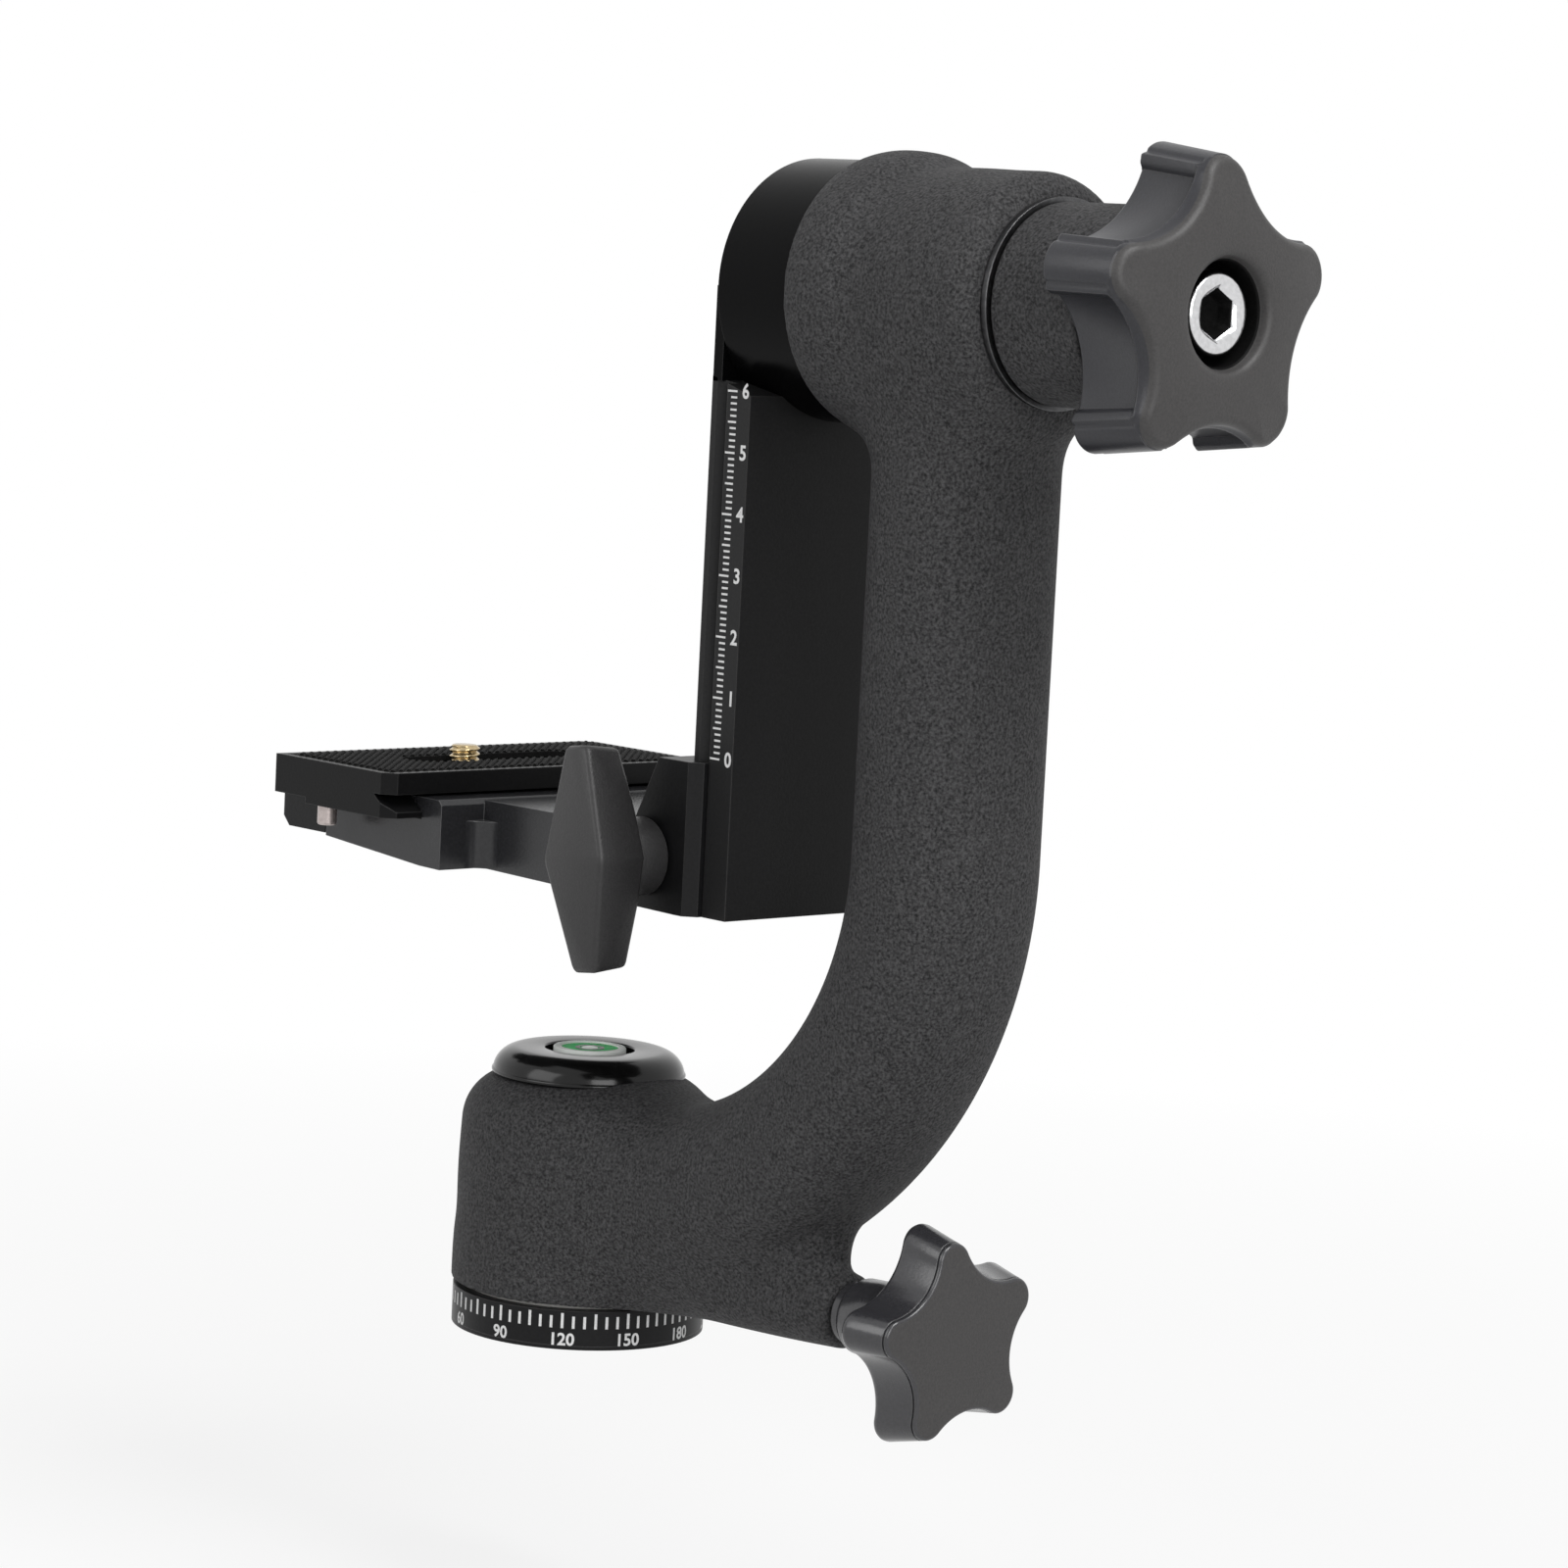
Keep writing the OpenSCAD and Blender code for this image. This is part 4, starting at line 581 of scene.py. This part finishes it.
def star_piece(name, body, stands_for, height, turn, tip, lobe, valley, x0, x1, draft, crown, tail, inner,
               back_edge, front_edge, side, panel=0.0, panel_front=0.0, looped=False, groove=0.0):
    """A star knob round an axis along +X, from its tail over the leaning flanks to the middle of its face.

    Panel sinks the hollows between two beads, and groove runs round the flank behind the face."""
    g = np.arange(star_points) * math.pi / (star_points // 2)
    r = star_radius(g, tip, lobe, valley)
    rim = np.stack([r * np.cos(g), r * np.sin(g)], 1)
    tangent = np.roll(rim, -1, 0) - np.roll(rim, 1, 0)
    normal = np.stack([tangent[:, 1], -tangent[:, 0]], 1)
    normal /= np.linalg.norm(normal, axis=1)[:, None]
    round_one = np.stack([np.cos(g), np.sin(g)], 1)
    panel_edge, panel_soft, bead_at, gap_at, bead_wide = 24.2, 1.2, 25.9, 27.9, 0.8
    bead_share, gap_share, panel_limit = 0.35, 0.8, 25.5
    from_hollow = np.degrees(np.abs(g % lobe_turn - half_lobe))
    sunk = np.clip((panel_edge - from_hollow) / panel_soft, 0, 1)[:, None]
    bead = np.exp(-((from_hollow - bead_at) / bead_wide) ** 2)
    bead = (bead - gap_share * np.exp(-((from_hollow - gap_at) / bead_wide) ** 2))[:, None]
    inside = (from_hollow < panel_limit)[:, None]
    lip = inner[0][0]
    drop = crown * (np.linalg.norm(rim, axis=1) * draft - lip).clip(0) ** 2 / (tip * draft - lip) ** 2

    def leaned(sink, x):
        """The outline at a place along the axis, drawn in by the draft and sunk along its normals."""
        return rim * (1 - (1 - draft) * (x - x0) / (x1 - x0)) - normal * sink

    flats = [(radius * round_one, x) for radius, x in tail]
    back_steps, front_steps = 4, 8
    for i in range(back_steps + 1):
        a = math.radians(90 * i / back_steps)
        x = x0 + back_edge * (1 - math.cos(a))
        flats.append((leaned(back_edge * (1 - math.sin(a)) + panel * (sunk - bead_share * bead), x), x))
    if panel:
        panel_steps = ((1.0, 0.9), (0.75, 0.55), (0.2, 0.2), (-0.15, 0.0),
                       (-0.35, -0.35), (-0.3, -0.6), (0.0, -1.0))
        for depth, ahead in panel_steps:
            x = x1 - crown - panel_front - ahead
            well = depth * np.where(inside, np.maximum(sunk, depth < 0), 0)
            flats.append((leaned(panel * (well - bead_share * bead * (ahead >= 0)), x), x))
    if groove:
        for sink, behind in ((0.0, 1.5), (1.0, 1.2), (1.0, 0.7), (0.0, 0.4)):
            x = x1 - front_edge - behind * groove
            flats.append((leaned(groove * sink, x), x - drop))
    side_rings = len(flats) + (front_steps if groove else 0)
    for i in range(front_steps + 1):
        a = math.radians(90 * i / front_steps)
        x = x1 - front_edge * (1 - math.sin(a))
        flats.append((leaned(front_edge * (1 - math.cos(a)), x), x - drop))
    face = leaned(front_edge, x1)
    for share in (0.15, 0.35, 0.6, 0.8):
        flats.append((face * (1 - share) + lip * round_one * share, x1 - drop * (1 - share) ** 2))
    lip_rings = 5
    face_rings = len(flats) + lip_rings
    flats += [(radius * round_one, x) for radius, x in inner]
    c, s = math.cos(math.radians(turn)), math.sin(math.radians(turn))
    rings = []
    for flat, x in flats:
        across, rise = flat[:, 0] * s + flat[:, 1] * c, flat[:, 0] * c - flat[:, 1] * s
        rings.append(np.stack([x + np.zeros(star_points), across, rise + height], 1))
    star = skin_rings(name, rings, plastic, body, stands_for, sharp=40, looped=looped)
    # The flanks take the side material, and the face's inner rings, the tilt knob's hole, the painted shade.
    star.data.materials.append(side)
    star.data.materials.append(recess_shade)
    for poly in star.data.polygons:
        ring = poly.index // star_points
        poly.material_index = 1 if ring < side_rings else (2 if ring >= face_rings else 0)


pan_tail = [(3.05, 100.0), (3.05, 83.2), (6.2, 83.2), (6.2, 85.2), (7.0, 85.6), (7.5, 86.6), (7.8, 92.0),
            (8.2, 97.0), (9.4, 100.4), (12.5, 102.1)]
pan_back, pan_face = 102.2, 113.5
star_piece("pan_star", "pan_lock", ("pan_lock_knob",), lock_h, turn=-9.3, tip=22.3, lobe=4.4, valley=15.5,
           x0=pan_back, x1=pan_face, draft=0.88, crown=0.5, tail=pan_tail,
           inner=[(4.0, pan_face), (0.02, pan_face)], back_edge=1.8, front_edge=0.5,
           side=gloss_flank, groove=0.45)


# Swinging rail: the round head and the rail are one aluminium piece, black anodised, screwed
# to the flange of the steel tilt spindle, with a height scale on its edge. It is drawn as
# a drum, a rail and the two cheeks that lead from the rail into the drum's rear.
def along_x(a, b, h):
    """Round the tilt axis."""
    return (h, a, tilt_h + b)


# One anodised black in two shades: the drum and cheeks darker as painted shade, the rail lighter as painted
# light.
drum_shade_black = finish("drum_shade_black", (0.0012, 0.0012, 0.0013), (0.0022, 0.0022, 0.0024),
                    rough=0.26, grain=0.0006, bump=0.05, gloss=0.05, wear_and_edge_highlight=(0.03, 0.03, 0.03))
rail_lit_black = finish("rail_lit_black", (0.0108, 0.0108, 0.0111), (0.0154, 0.0154, 0.0158),
                    rough=0.4, grain=0.0006, bump=0.06, gloss=0.14, wear_and_edge_highlight=(0.045, 0.044, 0.044))
rail_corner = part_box("swing_arm")[0]
rail_back, rail_foot = rail_corner.x / MM, rail_corner.z / MM
rail_half, rail_thick, land, groove_w, groove_in = 22.8, 11.1, 1.4, 3.0, 2.6
drum_r, drum_bore, drum_front = 25.2, 10.0, 76.3
flange_r, flange_seat = 17.02, rail_back + 5.52
cheek_back = rail_back + 2.6
drum_profile = [(drum_bore, flange_seat), (flange_r, flange_seat), (flange_r, rail_back + 0.1),
                (rail_half - 0.3, rail_back + 0.1), (rail_half, rail_back + 0.4), (rail_half, cheek_back),
                (drum_r - 0.4, cheek_back), (drum_r, cheek_back + 0.4), (drum_r, drum_front - 0.3),
                (drum_r - 0.3, drum_front), (drum_bore, drum_front), (drum_bore, flange_seat)]
lathe("swing_drum", drum_profile, drum_shade_black, "swing", along_x, ("swing_arm",), sides=160)
section = []
for side in (-1, 1):
    half = [(rail_thick, rail_half), (land + groove_w, rail_half), (land + groove_w, rail_half - groove_in),
            (land, rail_half), (0, rail_half)]
    section += [(rail_back + x, side * y) for x, y in (half if side < 0 else half[::-1])]
ledge_h, ledge_fall = tilt_h - flange_r - 0.2, 0.3
rail_verts = [(x, y, rail_foot) for x, y in section]
rail_verts += [(x, y, ledge_h - ledge_fall * (x - rail_back)) for x, y in section]
count = len(section)
rail_faces = [tuple(range(count))[::-1], tuple(range(count, 2 * count))]
rail_faces += [(i, (i + 1) % count, count + (i + 1) % count, count + i) for i in range(count)]
piece("swing_rail", rail_verts, rail_faces, rail_lit_black, "swing", sharp=30)
cheek_verts, cheek_faces = [], []
for side in (-1, 1):
    box_into(cheek_verts, cheek_faces, upright, (rail_back + 0.05, cheek_back),
             (side * (flange_r + 0.4), side * rail_half), (ledge_h - 1, tilt_h))
piece("swing_cheeks", cheek_verts, cheek_faces, drum_shade_black, "swing", sharp=30)
paint(steel, "steel", "tilt_spindle", "flange_screws", "rail_stop_pin")
paint(bearing_white, "washer", "tilt_thrust_washer")
scale_zero, scale_step = 125.0, 1.177
mark_end, mark_half, number_x, rail_number_size = 61.5, 0.2, 63.9, 4.0
mark_sink, mark_proud = -0.02, 0.012
scale_verts, scale_faces = [], []
for tenth in range(0, 61):
    def on_rail(a, b, t, tenth=tenth):
        return (a, -rail_half - t, scale_zero + tenth * scale_step + b)
    mark = 2.75 if tenth % 10 == 0 else (2.3 if tenth % 5 == 0 else 1.75)
    box_into(scale_verts, scale_faces, on_rail, (mark_end - mark, mark_end), (-mark_half, mark_half),
             (mark_sink, mark_proud))
    if tenth % 10 == 0:
        def rail_number(a, b, t, tenth=tenth):
            return on_rail(a + number_x, b, t, tenth)
        digits_into(scale_verts, scale_faces, str(tenth // 10), rail_number_size, rail_number, mark_proud)
piece("scale_marks", scale_verts, scale_faces, white_fill, "swing", sharp=60)


# Tilt clamp: a steel washer and a coated collar slide on the spindle; the big plastic
# knob presses them on the hub, and a polished socket screw keeps it on.
bright = finish("polished_steel", (0.58, 0.58, 0.59), (0.72, 0.72, 0.73),
                rough=0.14, grain=0.001, bump=0.04, metal=1.0)
dull = finish("dull_steel", (0.07, 0.07, 0.073), (0.13, 0.13, 0.133),
              rough=0.3, grain=0.001, bump=0.02, metal=1.0)
flank = finish("knob_flank", (0.0125, 0.0127, 0.0155), (0.021, 0.0213, 0.026),
               rough=0.36, grain=0.0005, bump=0.1, gloss=0.4, wear_and_edge_highlight=(0.09, 0.088, 0.088))
paint(dull, "bright", "steel_washer", "knob_washer")
paint(casting, "casting", "friction_disc")
paint(steel, "steel", "tilt_knob_insert")
knob_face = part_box("tilt_knob")[1].x / MM + 1.8
knob_back = knob_face - 18.8
knob_tail = [(11.5, knob_back - 7.9), (14.0, knob_back - 7.9), (14.0, knob_back)]
hole_profile = ((11.8, 0.0), (11.2, 0.1), (10.6, 0.4), (10.2, 0.9), (10.0, 1.8), (9.9, 2.1), (9.6, 2.4),
                (9.55, 3.0), (9.55, 12.0), (11.5, 12.0))
knob_inner = [(radius, knob_face - depth) for radius, depth in hole_profile]
star_piece("tilt_star", "tilt_lock", ("tilt_knob",), tilt_h, turn=-1.8, tip=30.3, lobe=6.0, valley=21.3,
           x0=knob_back, x1=knob_face, draft=0.92, crown=2.0, tail=knob_tail, inner=knob_inner,
           back_edge=0.8, front_edge=1.7, side=flank, panel=1.1, panel_front=2.8, looped=True)
screw_low, screw_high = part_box("knob_screw")
screw_out = 3.1
screw_top, screw_foot = screw_high.x / MM + screw_out, screw_low.x / MM + screw_out
screw_points = 180
around = np.arange(screw_points) * math.pi / (screw_points // 2)
hexagon = 4.0 / np.cos(np.abs(around % (math.pi / 3) - math.pi / 6))


def screw_ring(radius, x):
    """A ring of the socket screw, or of its lining, at a place along the tilt axis."""
    return np.stack([np.full(screw_points, x), radius * np.sin(around), tilt_h + radius * np.cos(around)], 1)


head_profile = ((5.0, 5.0), (7.2, 5.0), (7.6, 4.6), (7.6, 0.9), (7.5, 0.5), (7.2, 0.15), (6.8, 0), (5.6, 0),
                (5.3, 0.05), (hexagon + 0.35, 0.4), (hexagon, 0.8), (hexagon, 3.9))
screw_rings = [screw_ring(4.9, screw_foot), screw_ring(5.0, screw_foot + 0.4)]
screw_rings += [screw_ring(radius, screw_top - depth) for radius, depth in head_profile]
skin_rings("socket_screw", screw_rings, bright, "swing", ("knob_screw",), sharp=30)
# A near-black lining inside the hexagon socket: painted shade for the socket's depth.
socket_shade = finish("socket_shade_lining", (0.003, 0.003, 0.003), (0.007, 0.007, 0.007),
                     rough=0.6, grain=0.0008, bump=0.1, gloss=0.02)
lining_profile = ((hexagon - 0.02, 3.85), (hexagon - 0.02, 0.9), (hexagon - 0.25, 1.1),
                  (3.2, 3.4), (0.02, 3.7))
floor_rings = [screw_ring(radius, screw_top - depth) for radius, depth in lining_profile]
skin_rings("socket_shade_lining", floor_rings, socket_shade, "swing", (), sharp=30)


# Platform: a machined bracket, black anodised, that clamps on the rail's dovetail with a
# jaw and a plastic wing nut, and carries the bed of the plate's clamp.
wing_plastic = finish("wing_plastic", (0.013, 0.0127, 0.013), (0.022, 0.0214, 0.022),
                      rough=0.42, grain=0.0005, bump=0.16, gloss=0.4, wear_and_edge_highlight=(0.1, 0.098, 0.098))
satin = finish("anodised_satin", (0.0125, 0.0126, 0.0139), (0.0198, 0.02, 0.022),
               rough=0.26, grain=0.0006, bump=0.06, gloss=0.42, wear_and_edge_highlight=(0.09, 0.09, 0.092))
# The bracket takes the lighter satin black and the two jaws the darker anodised black, though all are one
# black anodising: painted shade on the jaws.
paint(satin, "anodised", "platform_bracket")
paint(anodised, "anodised", "rail_jaw", "plate_jaw")
paint(steel, "steel", "guide_pins", "wing_stud", "plate_stud")


def wing_piece(name, body, stands_for, place, length, mid, end, stem_r, stem_len, lean):
    """A lozenge wing with bevelled edges on a round stem; place maps (across, along, out) to the frame."""
    depth, end_depth, end_set, end_bow, bevel, sides = 11.5, 8.5, 2, 0.8, 1.0, 64
    c, s = math.cos(math.radians(lean)), math.sin(math.radians(lean))
    low = depth - end_depth - end_set
    half = mid / 2 - (mid - end) / 2 * (mid / 2) / (length / 2)
    spots = []
    for sx in (-1, 1):
        for sy in (-1, 1):
            spots.append((sx * end / 2, sy * (length / 2 - end_bow), low))
            spots.append((sx * end / 2, sy * (length / 2), low + end_depth))
    spots += [(sx * mid / 2, 0, h) for sx in (-1, 1) for h in (0, depth)]
    spots += [(sx * half, sy * mid / 2, 0) for sx in (-1, 1) for sy in (-1, 1)]
    blade = bmesh.new()
    for a, b, h in spots:
        blade.verts.new(place(a * c - b * s, a * s + b * c, stem_len + h))
    bmesh.ops.convex_hull(blade, input=blade.verts)
    bmesh.ops.dissolve_limit(blade, angle_limit=0.02, verts=blade.verts, edges=blade.edges)
    bmesh.ops.bevel(blade, geom=blade.edges[:], offset=bevel, segments=3, profile=0.5, affect="EDGES")
    blade.verts.index_update()
    verts = [tuple(v.co) for v in blade.verts]
    faces = [tuple(v.index for v in f.verts) for f in blade.faces]
    blade.free()
    n = len(verts)
    stem = [(stem_r - 0.6, 0.0), (stem_r, 0.6), (stem_r, stem_len), (stem_r - 1.2, stem_len + 2.5)]
    turns = [2 * math.pi * k / sides for k in range(sides)]
    for r, h in stem:
        verts += [place(r * math.cos(g), r * math.sin(g), h) for g in turns]
    for i in range(len(stem) - 1):
        lower, upper = n + i * sides, n + (i + 1) * sides
        for k in range(sides):
            k2 = (k + 1) % sides
            faces.append((lower + k, lower + k2, upper + k2, upper + k))
    faces.append(tuple(n + k for k in range(sides)))
    faces.append(tuple(n + (len(stem) - 1) * sides + k for k in range(sides)))
    piece(name, verts, faces, wing_plastic, body, sharp=30, stands_for=stands_for)


rail_wing_x, rail_wing_y, rail_wing_h = 44.6, -26.1, 104.4
plate_wing_x, plate_wing_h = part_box("plate_jaw")[0].x / MM - 0.1, 101.6


def rail_side(a, b, h):
    """Out from the side of the bracket, along -Y."""
    return (rail_wing_x + a, rail_wing_y - h, rail_wing_h + b)


def plate_side(a, b, h):
    """Out from the plate's jaw, along -X."""
    return (plate_wing_x - h, b, plate_wing_h + a)


wing_piece("wing_blade", "rail_wing", ("wing_knob",), rail_side,
           length=44, mid=17.6, end=6.6, stem_r=7.7, stem_len=7, lean=7)
wing_piece("plate_blade", "plate_wing", ("plate_knob",), plate_side,
           length=38, mid=12, end=6, stem_r=5.5, stem_len=4.5, lean=0)


# Plate: a dovetail plate, black anodised, with a rubber pad in diagonal ribs, two bright
# stop screws and a brass camera screw held in its slot by a clip.
plate_black = finish("plate_black", (0.0025, 0.0025, 0.0027), (0.0045, 0.0045, 0.0048),
                     rough=0.38, grain=0.0006, bump=0.06, gloss=0.12, wear_and_edge_highlight=(0.04, 0.04, 0.04))
rubber = finish("rubber", (0.0045, 0.0045, 0.0045), (0.009, 0.0088, 0.0086),
                rough=0.8, grain=0.0008, bump=0.1, gloss=0.1)
stop_steel = finish("stop_screw_steel", (0.36, 0.31, 0.3), (0.52, 0.46, 0.44),
                    rough=0.3, grain=0.0008, bump=0.03, metal=0.8)
screw_brass = finish("screw_brass", (0.4, 0.31, 0.17), (0.6, 0.48, 0.29),
                     rough=0.2, grain=0.0008, bump=0.02, metal=1.0)
paint(plate_black, "anodised", "quick_plate")
paint(rubber, "rubber", "plate_pad")
paint(stop_steel, "bright", "plate_stop_screws")
paint(steel, "steel", "screw_clip")
thread_low, thread_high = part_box("camera_screw")
screw_x, screw_y = (thread_low.x + thread_high.x) / 2 / MM, (thread_low.y + thread_high.y) / 2 / MM
screw_tip, screw_base = thread_high.z / MM, thread_low.z / MM
thread_foot = screw_tip - 3.2
core_r, thread_tall, thread_pitch, tip_r, tip_slope = 2.5, 0.67, 1.27, 2.45, 1.2
thread_points = 48
thread_turn = np.arange(thread_points) * math.pi / (thread_points // 2)


def thread_ring(radius, z):
    """A ring of the camera screw at a height."""
    return np.stack([screw_x + radius * np.cos(thread_turn), screw_y + radius * np.sin(thread_turn),
                     np.full(thread_points, z)], 1)


screw_head = ((7.2, screw_base), (7.5, screw_base + 0.3), (7.5, screw_base + 2.5), (7.2, screw_base + 2.8),
              (2.7, screw_base + 2.8), (2.7, thread_foot - 0.02))
thread_rings = [thread_ring(radius, z) for radius, z in screw_head]
for z in np.arange(thread_foot, screw_tip + 0.01, 0.08):
    phase = (z / thread_pitch - thread_turn / (2 * math.pi)) % 1
    radius = core_r + thread_tall * np.clip(1.25 - 2.5 * np.abs(phase - 0.5), 0, 1)
    thread_rings.append(thread_ring(np.minimum(radius, tip_r + (screw_tip - z) * tip_slope), z))
skin_rings("camera_thread", thread_rings, screw_brass, "screw", ("camera_screw",), sharp=50)
pad_low, pad_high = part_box("plate_pad")
pad_x0, pad_y0, pad_x1, pad_y1 = (v / MM for v in (pad_low.x, pad_low.y, pad_high.x, pad_high.y))
pad_top = pad_high.z / MM
pad_cx, pad_cy = (pad_x0 + pad_x1) / 2, (pad_y0 + pad_y1) / 2
slot_half_w, slot_half_len = 5.2, 22.6
rib_pitch, rib_foot, rib_crest, rib_tall, rib_margin, slot_margin = 1.45, 0.52, 0.24, 0.4, 1.0, 0.4
slant = math.sqrt(0.5)
rib_verts, rib_faces = [], []
for i in range(-46, 47):
    c0 = i * rib_pitch
    steps = np.arange(-62, 62, 0.25)
    px = pad_cx + steps * slant + c0 * slant
    py = pad_cy - steps * slant + c0 * slant
    ok = (px > pad_x0 + rib_margin) & (px < pad_x1 - rib_margin)
    ok &= (py > pad_y0 + rib_margin) & (py < pad_y1 - rib_margin)
    straight = np.maximum(np.abs(py - pad_cy) - (slot_half_len - slot_half_w), 0)
    ok &= np.hypot(px - pad_cx, straight) > slot_half_w + slot_margin
    runs = np.split(np.arange(len(steps)), np.flatnonzero(np.diff(ok.astype(int))) + 1)
    for run in runs:
        if len(run) < 5 or not ok[run[0]]:
            continue

        def on_rib(a, b, t, c0=c0):
            return (pad_cx + (a + c0 + b) * slant, pad_cy + (c0 + b - a) * slant, pad_top + t)
        n = len(rib_verts)
        for a in (steps[run[0]], steps[run[-1]]):
            rib_verts += [on_rib(a, -rib_foot, 0.0), on_rib(a, -rib_crest, rib_tall),
                          on_rib(a, rib_crest, rib_tall), on_rib(a, rib_foot, 0.0)]
        rib_faces += [(n, n + 1, n + 5, n + 4), (n + 1, n + 2, n + 6, n + 5), (n + 2, n + 3, n + 7, n + 6),
                      (n, n + 4, n + 7, n + 3), (n, n + 3, n + 2, n + 1), (n + 4, n + 5, n + 6, n + 7)]
piece("pad_ribs", rib_verts, rib_faces, rubber, "plate", sharp=25)
